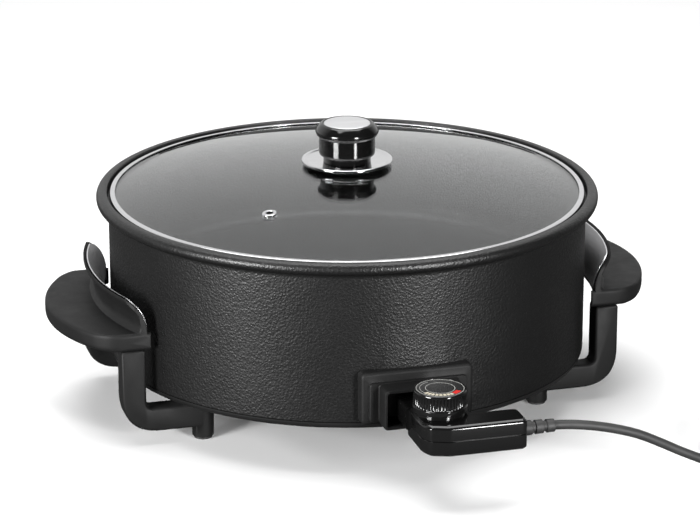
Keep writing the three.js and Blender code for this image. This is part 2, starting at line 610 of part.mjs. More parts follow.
// One leg: an upright strip, an elbow, an arm under the pan and a round foot column.
function leg() {
  const top = SHELF_BOTTOM - GAP;
  const outer = LEG_FACE + LEG_THICKNESS;
  const innerBend = LEG_BEND - LEG_THICKNESS - 4;
  const side = roundedOutline([
    [FOOT_X, ARM_BOTTOM, 0], [outer, ARM_BOTTOM, LEG_BEND], [outer, top, 0], [LEG_FACE, top, 0],
    [LEG_FACE, ARM_TOP, innerBend], [FOOT_X, ARM_TOP, 0],
  ]);
  const strip = prismAlongY(side, LEG_SPREAD - LEG_WIDTH / 2, LEG_SPREAD + LEG_WIDTH / 2, 2, 5);
  const tenon = block(tenonX - TENON_THICKNESS / 2, tenonX + TENON_THICKNESS / 2,
    LEG_SPREAD - TENON_WIDTH / 2, LEG_SPREAD + TENON_WIDTH / 2, top - 3, top + TENON_HEIGHT - GAP);
  const column = bar('z', FOOT_RADIUS, PAD_HEIGHT, GROUND_CLEARANCE - GAP, FOOT_X, LEG_SPREAD, 16);
  const recess = bar('z', PAD_STEM_RADIUS + GAP, 0, footHeadZ + GAP, FOOT_X, LEG_SPREAD);
  const bore = bar('z', SCREW_RADIUS + GAP, 0, GROUND_CLEARANCE + 1, FOOT_X, LEG_SPREAD);
  const sideBore = bar('x', SMALL_SCREW_RADIUS + GAP, LEG_FACE - 4, tenonX + 8, LEG_SPREAD, legScrewZ);
  return cut(join(strip, tenon, column), recess, bore, sideBore);
}

const footHeadZ = PAD_HEIGHT + PAD_STEM_HEIGHT + GAP + HEAD_HEIGHT;
const footScrewLength = GROUND_CLEARANCE + SEAT + 12 - footHeadZ;

function footPad() {
  return revolve([
    [0, 0], [PAD_RADIUS - 1, 0], [PAD_RADIUS, 0.7], [PAD_RADIUS, PAD_HEIGHT - GAP],
    [PAD_STEM_RADIUS, PAD_HEIGHT - GAP], [PAD_STEM_RADIUS, PAD_HEIGHT + PAD_STEM_HEIGHT],
    [0, PAD_HEIGHT + PAD_STEM_HEIGHT],
  ], PIN_ROUND);
}

// ---- lid -------------------------------------------------------------------------------------
// Height of the glass's upper face above its edge at a radius.
function domeHeight(radius) {
  const r = Math.min(radius, DOME_RADIUS);
  return Math.sqrt(DOME_SPHERE ** 2 - r ** 2) - (DOME_SPHERE - DOME_RISE);
}

const ventRadius = Math.hypot(VENT_X, VENT_Y);
const ventTilt = Math.asin(ventRadius / DOME_SPHERE);
const ventTurn = Math.atan2(VENT_Y, VENT_X);

// Sets a piece made on +Z square to the glass at the vent.
function atVent(geometry) {
  return geometry.rotateY(ventTilt).rotateZ(ventTurn)
    .translate(VENT_X, VENT_Y, GLASS_EDGE_TOP + domeHeight(ventRadius));
}

function lidGlass() {
  const steps = 5;
  const radii = Array.from({ length: steps + 1 }, (_, i) =>
    GLASS_BORE_RADIUS + (DOME_RADIUS - GLASS_BORE_RADIUS) * i / steps);
  const upper = radii.map((r) => [r, GLASS_EDGE_TOP + domeHeight(r)]);
  const lower = radii.map((r) => [r, GLASS_BOTTOM + domeHeight(r)]).reverse();
  const edge = [[GLASS_RADIUS, GLASS_EDGE_TOP], [GLASS_RADIUS, GLASS_BOTTOM]];
  const pane = revolve([...upper, ...edge, ...lower], ROUND);
  return cut(pane, atVent(bar('z', VENT_BORE_RADIUS, -GLASS_THICKNESS * 2, GLASS_THICKNESS, 0, 0, 16)));
}

function lidRing() {
  const inside = LID_RADIUS - RING_BAND;
  const top = GLASS_EDGE_TOP + GAP + RING_SHEET;
  const channel = LID_RADIUS - RING_SHEET;
  return revolve([
    [inside, RING_BOTTOM], [LID_RADIUS, RING_BOTTOM], [LID_RADIUS, top - 1], [LID_RADIUS - 1, top],
    [inside, top], [inside, top - RING_SHEET],
    [channel, top - RING_SHEET], [channel, RING_BOTTOM + RING_SHEET], [inside, RING_BOTTOM + RING_SHEET],
  ], ROUND);
}

function ventGrommet() {
  const bore = VENT_BORE_RADIUS - 2;
  const tube = VENT_BORE_RADIUS - GAP - 0.1;
  const under = -GLASS_THICKNESS - SLIDE;
  return atVent(revolve([
    [bore, GAP + 1], [VENT_FLANGE_RADIUS - 0.6, GAP + 1], [VENT_FLANGE_RADIUS, GAP], [tube, GAP],
    [tube, under], [VENT_FLANGE_RADIUS, under], [VENT_FLANGE_RADIUS - 0.6, under - 1], [bore, under - 1],
  ], 16));
}

function knobPlate() {
  const t = PLATE_SHEET;
  const z = PLATE_BOTTOM;
  return revolve([
    [KNOB_SCREW_RADIUS + GAP, z], [WAIST_RADIUS + 2, z], [PLATE_RADIUS - 3, z + PLATE_DISH - 0.9],
    [PLATE_RADIUS - 1, z + PLATE_DISH - 1.2], [PLATE_RADIUS, z + PLATE_DISH],
    [PLATE_RADIUS, z + PLATE_DISH + t], [PLATE_RADIUS - 2, z + PLATE_DISH + t + 0.4],
    [WAIST_RADIUS + 2, z + t], [KNOB_SCREW_RADIUS + GAP, z + t],
  ], KNOB_ROUND);
}

function knobBody() {
  const z = KNOB_BOTTOM;
  const capMiddle = KNOB_TOP - 7;
  const stemTop = capMiddle - 4;
  const recess = KNOB_TOP - INSERT_SHEET - GAP;
  return revolve([
    [KNOB_SCREW_RADIUS + GAP, z], [WAIST_RADIUS, z], [WAIST_RADIUS, z + WAIST_HEIGHT],
    [STEM_RADIUS - 1, z + WAIST_HEIGHT + 1], [STEM_RADIUS, z + WAIST_HEIGHT + 2.4], [STEM_RADIUS, stemTop],
    [CAP_RADIUS - 1.4, stemTop + 1], [CAP_RADIUS, capMiddle], [CAP_RADIUS - 1.8, capMiddle + 3.4],
    [CAP_TOP_RADIUS + 1.6, KNOB_TOP - 0.6], [CAP_TOP_RADIUS, KNOB_TOP], [INSERT_RADIUS + GAP, KNOB_TOP],
    [INSERT_RADIUS + GAP, recess], [0, recess], [0, z + 17], [KNOB_SCREW_RADIUS + GAP, z + 17],
  ], KNOB_ROUND);
}

function knobInsert() {
  const z = KNOB_TOP - INSERT_SHEET;
  return revolve([
    [0, z], [INSERT_RADIUS, z], [INSERT_RADIUS, KNOB_TOP - 0.6], [INSERT_RADIUS - 1.4, KNOB_TOP + 0.1],
    [INSERT_RADIUS * 0.5, KNOB_TOP + 0.5], [0, KNOB_TOP + 0.6],
  ], KNOB_ROUND);
}

const washerTop = GLASS_BOTTOM + DOME_RISE - GAP;
const WASHER_RADIUS = 10;
const WASHER_SHEET = 1.5;

function knobWasher() {
  const bore = KNOB_SCREW_RADIUS + GAP;
  const washerBottom = washerTop - WASHER_SHEET;
  return revolve([[bore, washerBottom], [WASHER_RADIUS, washerBottom], [WASHER_RADIUS, washerTop],
    [bore, washerTop]], KNOB_ROUND);
}

// ---- thermostat control ----------------------------------------------------------------------
function bodyOutline(inset) {
  const corner = (r) => Math.max(r - inset, 0.8);
  return roundedOutline([
    [BODY_LEFT + inset, BODY_FRONT + inset, corner(BODY_CORNER)],
    [BODY_RIGHT - inset, BODY_FRONT + inset, corner(5)],
    [BODY_RIGHT - inset, BODY_FRONT + TAIL_WIDTH - inset, corner(5)],
    [HEAD_RIGHT - inset, BODY_FRONT + TAIL_WIDTH - inset, 2],
    [HEAD_RIGHT - inset, HEAD_BACK - inset, corner(4)],
    [BODY_LEFT + inset, HEAD_BACK - inset, corner(8)],
  ]);
}

const noseOutline = (inset) => roundedRect(-NOSE_HALF_WIDTH + inset, NOSE_HALF_WIDTH - inset,
  NOSE_BOTTOM + inset, BODY_TOP - inset, 3);

const shellScrew = { x: (HEAD_RIGHT + BODY_RIGHT) / 2, y: TAIL_Y };
const shellScrewSeat = BODY_BOTTOM + HEAD_HEIGHT + GAP + 0.5;
const strainGrip = 4;

// Both shells are cut from one hollow body, so their walls line up at the parting plane.
function controlShell(z0, z1) {
  const outer = join(prism(bodyOutline(0), BODY_BOTTOM, BODY_TOP, 2.5, 6),
    prismAlongY(noseOutline(0), HEAD_BACK - 4, NOSE_BACK, 1, 3),
    bar('z', DIAL_RADIUS - 1, BODY_TOP - 1, BODY_TOP + COLLAR_HEIGHT, DIAL_X, DIAL_Y, KNOB_ROUND));
  const post = bar('z', 4, BODY_BOTTOM + 1, BODY_TOP - 1, shellScrew.x, shellScrew.y);
  const hollow = join(
    prism(bodyOutline(BODY_WALL), BODY_BOTTOM + BODY_WALL, BODY_TOP - BODY_WALL, 0, 6),
    prismAlongY(noseOutline(BODY_WALL), HEAD_BACK - 6, NOSE_BACK - BODY_WALL, 0, 3));
  const tools = [
    ...[-terminalX, terminalX].map((x) =>
      bar('y', TERMINAL_RADIUS + SLIDE, NOSE_BACK - 4, NOSE_BACK + 1, x, TERMINAL_Z)),
    bar('y', PROBE_RADIUS + GAP, NOSE_BACK - 4, NOSE_BACK + 1, 0, TERMINAL_Z),
    bar('z', SHAFT_RADIUS + GAP, BODY_TOP - 5, DIAL_BOTTOM, DIAL_X, DIAL_Y, KNOB_ROUND),
    bar('x', strainGrip + GAP, BODY_RIGHT - 5, BODY_RIGHT + 1, TAIL_Y, PARTING),
    bar('z', SMALL_SCREW_RADIUS + GAP, BODY_BOTTOM - 1, BODY_TOP - 4, shellScrew.x, shellScrew.y),
    bar('z', SMALL_HEAD_RADIUS + GAP, BODY_BOTTOM - 1, shellScrewSeat + GAP, shellScrew.x, shellScrew.y),
  ];
  const slab = block(BODY_LEFT - 5, BODY_RIGHT + 5, BODY_FRONT - 5, NOSE_BACK + 5, z0, z1);
  return keepInside(cut(join(cut(outer, hollow), post), ...tools), slab);
}

function contact() {
  const inside = TERMINAL_RADIUS + GAP;
  const sleeve = [[inside, 0], [CONTACT_RADIUS, 0], [CONTACT_RADIUS, CONTACT_LENGTH],
    [inside, CONTACT_LENGTH]];
  return revolve(sleeve, SCREW_ROUND).rotateX(-Math.PI / 2)
    .translate(0, NOSE_BACK - BODY_WALL - GAP - CONTACT_LENGTH, 0);
}

function probe() {
  const rear = HEAD_BACK - 12;
  return revolve([
    [0, 0], [PROBE_RADIUS, 0], [PROBE_RADIUS, -PROBE_TIP - rear - 2], [PROBE_RADIUS - 1.4, -PROBE_TIP - rear],
    [0, -PROBE_TIP - rear],
  ], SCREW_ROUND).rotateX(-Math.PI / 2).translate(0, rear, TERMINAL_Z);
}

const switchTop = TERMINAL_Z - CONTACT_RADIUS - 1;

function thermostatSwitch() {
  return block(BODY_LEFT + BODY_WALL + 6, HEAD_RIGHT - BODY_WALL - 4, BODY_FRONT + TAIL_WIDTH / 2 - 4,
    HEAD_BACK - BODY_WALL - 4, BODY_BOTTOM + BODY_WALL + GAP, switchTop);
}

function dialKnob() {
  const faceZ = DIAL_TOP - 1.2;
  const band = DIAL_BOTTOM + DIAL_HEIGHT * 0.5;
  return revolve([
    [0, DIAL_BOTTOM + 3], [SHAFT_RADIUS + 2, DIAL_BOTTOM + 3], [SHAFT_RADIUS + 2, DIAL_BOTTOM],
    [DIAL_RADIUS - 0.8, DIAL_BOTTOM], [DIAL_RADIUS, DIAL_BOTTOM + 0.8], [DIAL_RADIUS, band],
    [DIAL_RADIUS - 0.8, band + 0.8], [DIAL_TOP_RADIUS, DIAL_TOP - 0.8], [DIAL_TOP_RADIUS - 0.4, DIAL_TOP],
    [FACE_RADIUS + GAP, DIAL_TOP], [FACE_RADIUS + GAP, faceZ], [0, faceZ],
  ], KNOB_ROUND);
}

function dialFace() {
  const z = DIAL_TOP - 1.2 + GAP;
  return bar('z', FACE_RADIUS, z, DIAL_TOP - 0.1, 0, 0, KNOB_ROUND);
}

function dialShaft() {
  const bottom = switchTop + 2;
  return revolve([[0, bottom], [SHAFT_RADIUS + 2, bottom], [SHAFT_RADIUS + 2, bottom + 1.5],
    [SHAFT_RADIUS, bottom + 1.5], [SHAFT_RADIUS, DIAL_BOTTOM + 3 - GAP], [0, DIAL_BOTTOM + 3 - GAP]], 16);
}

// ---- strain relief, cord, coil and plug ------------------------------------------------------
// Three ribs on a taper, with a stub that the shells grip.
function strainRelief() {
  const ribs = 3;
  const pitch = STRAIN_LENGTH / ribs;
  const outline = [[CORD_RADIUS * 0.5, -4], [strainGrip, -4], [strainGrip, GAP]];
  for (let i = 0; i < ribs; i += 1) {
    const z = GAP + i * pitch;
    const r = STRAIN_RADIUS - i * 0.35;
    outline.push([r, z], [r, z + pitch * 0.7], [r - 1.5, z + pitch * 0.7], [r - 1.5, z + pitch - 0.3]);
  }
  outline.push([CORD_RADIUS * 0.5, GAP + ribs * pitch - 0.3]);
  return revolve(outline, PIN_ROUND).rotateY(Math.PI / 2).translate(BODY_RIGHT, TAIL_Y, PARTING);
}

function cordTube() {
  const points = CORD_ROUTE.map(([x, z]) => new THREE.Vector3(x, TAIL_Y, z));
  const path = new THREE.CatmullRomCurve3(points, false, 'centripetal');
  return new THREE.ExtrudeGeometry(circleShape(CORD_RADIUS, 8), { extrudePath: path, steps: 14 });
}

function cordCoil() {
  const top = COIL_BOTTOM + 2 * CORD_DIAMETER;
  const e = 2;
  return revolve([
    [COIL_INNER + e, COIL_BOTTOM], [COIL_OUTER - e, COIL_BOTTOM], [COIL_OUTER, COIL_BOTTOM + e],
    [COIL_OUTER, top - e], [COIL_OUTER - e, top], [COIL_INNER + e, top], [COIL_INNER, top - e],
    [COIL_INNER, COIL_BOTTOM + e],
  ], KNOB_ROUND).translate(COIL_X, COIL_Y, 0);
}

// A strap round the four runs of the coil.
function cordTie() {
  const facetSlack = 0.6;
  const half = CORD_DIAMETER + GAP + facetSlack;
  const top = COIL_BOTTOM + 2 * CORD_DIAMETER + GAP;
  const outline = roundedRect(-half - TIE_SHEET, half + TIE_SHEET, 0, top + TIE_SHEET, 2.4);
  outline.holes.push(roundedRect(-half, half, TIE_SHEET, top, 1.4, THREE.Path));
  return prismAlongY(outline, -TIE_WIDTH / 2, TIE_WIDTH / 2, 0, 3)
    .translate(COIL_TURN_RADIUS, 0, 0).rotateZ(TIE_ANGLE).translate(COIL_X, COIL_Y, 0);
}

// The short lead from the coil's outer upper turn to the plug.
function plugLead() {
  const start = COIL_Y + 28;
  const z0 = COIL_BOTTOM + CORD_DIAMETER + CORD_RADIUS;
  const points = [
    new THREE.Vector3(PLUG_X, start, z0),
    new THREE.Vector3(PLUG_X, start + 10, z0 + 1.4),
    new THREE.Vector3(PLUG_X, PLUG_REAR - 8, PLUG_RADIUS - 0.4),
    new THREE.Vector3(PLUG_X, PLUG_REAR - GAP, PLUG_RADIUS),
  ];
  const path = new THREE.CatmullRomCurve3(points, false, 'centripetal');
  return new THREE.ExtrudeGeometry(circleShape(CORD_RADIUS, 8), { extrudePath: path, steps: 5 });
}

function plugBody() {
  const boot = PLUG_BOOT;
  return revolve([
    [0, 0], [CORD_RADIUS + 1, 0], [CORD_RADIUS + 3, boot * 0.8], [CORD_RADIUS + 7, boot],
    [PLUG_RADIUS - 2, boot + 7], [PLUG_RADIUS, boot + 12], [PLUG_RADIUS, boot + PLUG_LENGTH - 1],
    [PLUG_RADIUS - 1, boot + PLUG_LENGTH], [0, boot + PLUG_LENGTH],
  ], KNOB_ROUND).rotateX(-Math.PI / 2).translate(PLUG_X, PLUG_REAR, PLUG_RADIUS);
}

function plugPin() {
  const r = PLUG_PIN_RADIUS;
  return revolve([[0, 0], [r, 0], [r, PLUG_PIN_LENGTH - 2], [r - 1.2, PLUG_PIN_LENGTH], [0, PLUG_PIN_LENGTH]],
    SCREW_ROUND).rotateX(-Math.PI / 2).translate(0, PLUG_REAR + PLUG_BOOT + PLUG_LENGTH + GAP, PLUG_RADIUS);
}

// ---- assembly --------------------------------------------------------------------------------
add('pan_shell', panShell(), hammertone);
add('base_cover', baseCover(), hammertone);
add('heating_element', heatingElement(), nickel);
add('element_plate', elementPlate(), castAluminium);
add('sensor_block', sensorBlock(), castAluminium);
add('socket_housing', socketHousing(), satinBlack);
add('terminal_block', terminalBlock(), ceramic);

[['left', -1], ['right', 1]].forEach(([side, sx]) => {
  add(`terminal_pin_${side}`, terminalPin(), nickel).position.set(sx * terminalX, 0, TERMINAL_Z);
  const socketScrew = screw(SMALL_HEAD_RADIUS, SMALL_SCREW_RADIUS, socketScrewLength());
  add(`socket_screw_${side}`, socketScrew.rotateX(Math.PI / 2), satinSteel)
    .position.set(sx * socketScrewX, socketScrewSeat(), socketScrewZ);
});

// The socket screws enter from inside the skirt and stop in the flange.
function socketScrewSeat() {
  return -Math.sqrt(PAN_INSIDE ** 2 - (socketScrewX + SMALL_HEAD_RADIUS) ** 2) + GAP;
}

function socketScrewLength() {
  return socketScrewSeat() - FLANGE_FRONT - 3;
}

const gripShape = grip();
const shieldShape = heatShield();
const legShape = leg();

[['left', -1], ['right', 1]].forEach(([side, sx]) => {
  add(`grip_${side}`, mirrored(gripShape, sx, 1), satinBlack);
  add(`heat_shield_${side}`, mirrored(shieldShape, sx, 1), satinSteel);
  const shieldSeat = guardRadius(shieldScrewZ) - SHIELD_SHEET - 2 * GAP;
  add(`shield_screw_${side}`, mirrored(screw(SMALL_HEAD_RADIUS, SMALL_SCREW_RADIUS, 10)
    .rotateY(Math.PI / 2).translate(shieldSeat, 0, shieldScrewZ), sx, 1), satinSteel);
  [['front', -1], ['rear', 1]].forEach(([end, sy]) => {
    const place = `${end}_${side}`;
    add(`leg_${place}`, mirrored(legShape, sx, sy), satinBlack);
    add(`leg_screw_${place}`, mirrored(screw(SMALL_HEAD_RADIUS, SMALL_SCREW_RADIUS, 9)
      .rotateY(Math.PI / 2).translate(legScrewSeat, LEG_SPREAD, legScrewZ), sx, sy), satinSteel);
    add(`foot_pad_${place}`, footPad(), rubber).position.set(sx * FOOT_X, sy * LEG_SPREAD, 0);
    add(`foot_screw_${place}`, screw(SCREW_HEAD_RADIUS, SCREW_RADIUS, footScrewLength), satinSteel)
      .position.set(sx * FOOT_X, sy * LEG_SPREAD, footHeadZ);
  });
});

add('lid_glass', lidGlass(), smokedGlass);
add('lid_ring', lidRing(), brightSteel);
add('vent_grommet', ventGrommet(), brightSteel);
add('knob_plate', knobPlate(), brightSteel);
add('knob_body', knobBody(), glossBlack);
add('knob_insert', knobInsert(), satinSteel);
add('knob_washer', knobWasher(), satinSteel);
add('knob_screw', screw(SCREW_HEAD_RADIUS, KNOB_SCREW_RADIUS, KNOB_BOTTOM + 14 - washerTop), satinSteel)
  .position.set(0, 0, washerTop - WASHER_SHEET - GAP);

add('control_lower_shell', controlShell(BODY_BOTTOM - 1, PARTING - GAP / 2), glossBlack);
add('control_upper_shell', controlShell(PARTING + GAP / 2, DIAL_BOTTOM), glossBlack);
add('shell_screw', screw(SMALL_HEAD_RADIUS, SMALL_SCREW_RADIUS, BODY_HEIGHT - 10), satinSteel)
  .position.set(shellScrew.x, shellScrew.y, shellScrewSeat - GAP);
add('thermostat_switch', thermostatSwitch(), ceramic);
add('temperature_probe', probe(), brightSteel);
[['left', -1], ['right', 1]].forEach(([side, sx]) => {
  add(`contact_${side}`, contact(), brass).position.set(sx * terminalX, 0, TERMINAL_Z);
});
add('dial_knob', dialKnob(), glossBlack).position.set(DIAL_X, DIAL_Y, 0);
add('dial_face', dialFace(), dialPrint).position.set(DIAL_X, DIAL_Y, 0);
add('dial_shaft', dialShaft(), castAluminium).position.set(DIAL_X, DIAL_Y, 0);

add('strain_relief', strainRelief(), rubber);
add('cord', cordTube(), rubber);
add('cord_coil', cordCoil(), rubber);
add('cord_tie', cordTie(), glossBlack);
add('plug_lead', plugLead(), rubber);
add('plug_body', plugBody(), rubber);
[['left', -1], ['right', 1]].forEach(([side, sx]) => {
  add(`plug_pin_${side}`, plugPin(), nickel).position.set(PLUG_X + sx * PLUG_PIN_SPACING / 2, 0, 0);
});

// The origin stands under the middle of the pan, its handles and the plugged-in control.
object.position.y = (-BODY_FRONT - RIM_RADIUS) / 2;

export default object;
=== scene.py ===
"""Electric party pan: the finished pieces, finishes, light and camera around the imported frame."""
import json
import logging
import math
from collections.abc import Callable, Sequence
from dataclasses import dataclass, field
from enum import Enum

import bmesh
import bpy
from mathutils import Matrix, Vector


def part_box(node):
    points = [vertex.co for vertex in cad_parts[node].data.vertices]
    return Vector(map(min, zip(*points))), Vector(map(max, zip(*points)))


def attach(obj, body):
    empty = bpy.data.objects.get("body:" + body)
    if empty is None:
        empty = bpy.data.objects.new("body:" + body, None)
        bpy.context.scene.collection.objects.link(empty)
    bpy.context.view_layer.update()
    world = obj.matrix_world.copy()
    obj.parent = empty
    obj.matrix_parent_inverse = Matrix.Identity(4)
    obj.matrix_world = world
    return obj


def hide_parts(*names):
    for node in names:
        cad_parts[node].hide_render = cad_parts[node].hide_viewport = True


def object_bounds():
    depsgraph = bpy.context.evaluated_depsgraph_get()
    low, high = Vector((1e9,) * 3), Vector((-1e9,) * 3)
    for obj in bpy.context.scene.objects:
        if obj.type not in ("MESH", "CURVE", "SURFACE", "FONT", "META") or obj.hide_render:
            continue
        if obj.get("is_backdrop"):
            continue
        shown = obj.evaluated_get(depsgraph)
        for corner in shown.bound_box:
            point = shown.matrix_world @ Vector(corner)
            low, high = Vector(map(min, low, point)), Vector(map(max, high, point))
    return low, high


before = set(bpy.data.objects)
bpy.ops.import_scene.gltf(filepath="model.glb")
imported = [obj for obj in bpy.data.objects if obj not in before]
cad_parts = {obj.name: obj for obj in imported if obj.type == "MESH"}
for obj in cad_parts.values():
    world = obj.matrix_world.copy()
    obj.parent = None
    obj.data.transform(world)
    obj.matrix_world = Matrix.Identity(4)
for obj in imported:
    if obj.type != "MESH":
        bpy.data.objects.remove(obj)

logging.basicConfig(level=logging.INFO, format="%(message)s")
log = logging.getLogger("party_pan")

MM = 0.001
TAU = math.tau
Flat = tuple[float, float]
Corner = tuple[float, float, float]
Solid = tuple[float, float, float]


class Body(str, Enum):
    """The moving bodies a piece can ride on."""

    BASE = "base"
    LID = "lid"
    CONTROL = "control"
    DIAL = "dial"


class Side(Enum):
    """Left or right of the pan, as the sign of X."""

    LEFT = -1
    RIGHT = 1


class End(Enum):
    """Front or rear of the pan, as the sign of Y."""

    FRONT = -1
    REAR = 1


@dataclass(frozen=True)
class PanAxis:
    """The pan's own axis; every piece is laid out from it in millimetres."""

    x: float
    y: float

    @classmethod
    def from_frame(cls) -> "PanAxis":
        """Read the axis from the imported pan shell."""
        low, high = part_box("pan_shell")
        return cls((low[0] + high[0]) / 2, (low[1] + high[1]) / 2)

    def at(self, x: float, y: float, z: float) -> Vector:
        """Turn millimetres from the axis into metres in the frame."""
        return Vector((self.x + x * MM, self.y + y * MM, z * MM))


AXIS = PanAxis.from_frame()


# ---- outlines ----------------------------------------------------------------------------------
def ease(corners: Sequence[Corner], steps: int = 4, closed: bool = True) -> list[Flat]:
    """Round the corners of an outline.

    Args:
        corners: Points as (x, y, setback), the setback being how far the rounding reaches.
        steps: Pieces in each rounding.
        closed: Whether the last corner joins the first.

    Returns:
        The outline's points.
    """
    points: list[Flat] = []
    count = len(corners)
    for i, (x, y, setback) in enumerate(corners):
        end = not closed and i in (0, count - 1)
        if setback <= 0 or end:
            points.append((x, y))
            continue
        here = Vector((x, y))
        before = Vector(corners[i - 1][:2])
        after = Vector(corners[(i + 1) % count][:2])
        enter = here + (before - here).normalized() * setback
        leave = here + (after - here).normalized() * setback
        for k in range(steps + 1):
            s = k / steps
            p = enter * (1 - s) ** 2 + here * (2 * s * (1 - s)) + leave * s**2
            points.append((p.x, p.y))
    return points


def box_outline(half: float, low: float, high: float, setback: float, steps: int = 5) -> list[Flat]:
    """Outline of an upright rectangle about x = 0 with rounded corners."""
    return ease([(-half, low, setback), (half, low, setback), (half, high, setback),
                 (-half, high, setback)], steps)


def smooth_step(low: float, high: float, value: float) -> float:
    """Rise smoothly from 0 at low to 1 at high."""
    share = min(1.0, max(0.0, (value - low) / (high - low)))
    return share * share * (3 - 2 * share)


# ---- meshes ------------------------------------------------------------------------------------
class Shape:
    """A closed mesh gathered ring by ring, in millimetres from the pan's axis."""

    def __init__(self) -> None:
        """Start with no faces."""
        self.mesh = bmesh.new()

    def ring(self, points: Sequence[Solid]) -> list[bmesh.types.BMVert]:
        """Add one ring of points."""
        return [self.mesh.verts.new(AXIS.at(*p)) for p in points]

    def bridge(self, a: list, b: list, slot: int = 0) -> None:
        """Join two rings with faces; a ring of one point closes the other to a tip.

        Args:
            a: The first ring.
            b: The second ring.
            slot: Material slot of the new faces.
        """
        count = max(len(a), len(b))
        for i in range(count):
            j = (i + 1) % count
            if len(a) == 1:
                corners = (a[0], b[j], b[i])
            elif len(b) == 1:
                corners = (a[i], a[j], b[0])
            else:
                corners = (a[i], a[j], b[j], b[i])
            self.mesh.faces.new(corners).material_index = slot

    def cap(self, ring: list, slot: int = 0) -> None:
        """Close a ring with one face."""
        self.mesh.faces.new(ring).material_index = slot

    def loft(self, rings: Sequence[Sequence[Solid]], closed: bool = False) -> "Shape":
        """Join rings in order.

        Args:
            rings: Rings with equal counts of points.
            closed: Whether the last ring joins the first; otherwise both ends are capped.

        Returns:
            This shape.
        """
        made = [self.ring(r) for r in rings]
        for a, b in zip(made, made[1:]):
            self.bridge(a, b)
        if closed:
            self.bridge(made[-1], made[0])
        else:
            self.cap(made[0])
            self.cap(made[-1])
        return self

    def revolve(self, outline: Sequence[Flat], segments: int, centre: Flat = (0.0, 0.0),
                ripple: Callable[[int, float], float] | None = None,
                slots: Callable[[Flat, Flat], int] | None = None) -> "Shape":
        """Turn an outline of (radius, height) about an upright axis.

        Args:
            outline: Points from the axis back to the axis, or a loop off the axis.
            segments: Steps round the axis.
            centre: The axis in plan.
            ripple: Gives what is added to a radius at a step and a height.
            slots: Gives the material slot of the faces between two outline points.

        Returns:
            This shape.
        """
        rings = []
        for radius, height in outline:
            if radius <= 0:
                rings.append(self.ring([(centre[0], centre[1], height)]))
                continue
            points = []
            for i in range(segments):
                r = radius + (ripple(i, height) if ripple else 0)
                angle = TAU * i / segments
                points.append((centre[0] + r * math.cos(angle), centre[1] + r * math.sin(angle), height))
            rings.append(self.ring(points))
        pairs = list(zip(range(len(rings)), range(1, len(rings))))
        if outline[0][0] > 0 and outline[-1][0] > 0:
            pairs.append((len(rings) - 1, 0))
        for a, b in pairs:
            slot = slots(outline[a], outline[b]) if slots else 0
            if len(rings[a]) > 1 or len(rings[b]) > 1:
                self.bridge(rings[a], rings[b], slot)
        return self

    def turned(self, matrix: Matrix) -> "Shape":
        """Move every point by a matrix that works in metres from the pan's axis at floor level."""
        shift = Matrix.Translation(AXIS.at(0, 0, 0))
        bmesh.ops.transform(self.mesh, matrix=shift @ matrix @ shift.inverted(), verts=self.mesh.verts)
        return self

    def blank(self, name: str) -> bpy.types.Object:
        """Make an undressed object with its faces turned outwards."""
        bmesh.ops.recalc_face_normals(self.mesh, faces=self.mesh.faces)
        data = bpy.data.meshes.new(name)
        self.mesh.to_mesh(data)
        self.mesh.free()
        obj = bpy.data.objects.new(name, data)
        bpy.context.scene.collection.objects.link(obj)
        return obj


def combine(obj: bpy.types.Object, tools: Sequence[bpy.types.Object], operation: str) -> bpy.types.Object:
    """Join or cut an object with others, which are used up.

    Args:
        obj: The object to change.
        tools: The objects to join or cut with.
        operation: UNION or DIFFERENCE.

    Returns:
        The changed object.
    """
    for tool in tools:
        change = obj.modifiers.new("combine", "BOOLEAN")
        change.object = tool
        change.operation = operation
        change.solver = "EXACT"
        graph = bpy.context.evaluated_depsgraph_get()
        data = bpy.data.meshes.new_from_object(obj.evaluated_get(graph))
        obj.modifiers.clear()
        old, obj.data = obj.data, data
        bpy.data.meshes.remove(old)
        bpy.data.objects.remove(tool)
    return obj


def rod(axis: str, radius: float, start: float, end: float, a: float, b: float, steps: int = 32) -> Shape:
    """A round bar along x, y or z, used as a joining or cutting tool."""
    shape = Shape()
    rings = []
    for along in (start, end):
        ring = []
        for i in range(steps):
            u = radius * math.cos(TAU * i / steps)
            v = radius * math.sin(TAU * i / steps)
            ring.append({"x": (along, a + u, b + v), "y": (a + u, along, b + v),
                         "z": (a + u, b + v, along)}[axis])
        rings.append(ring)
    return shape.loft(rings)


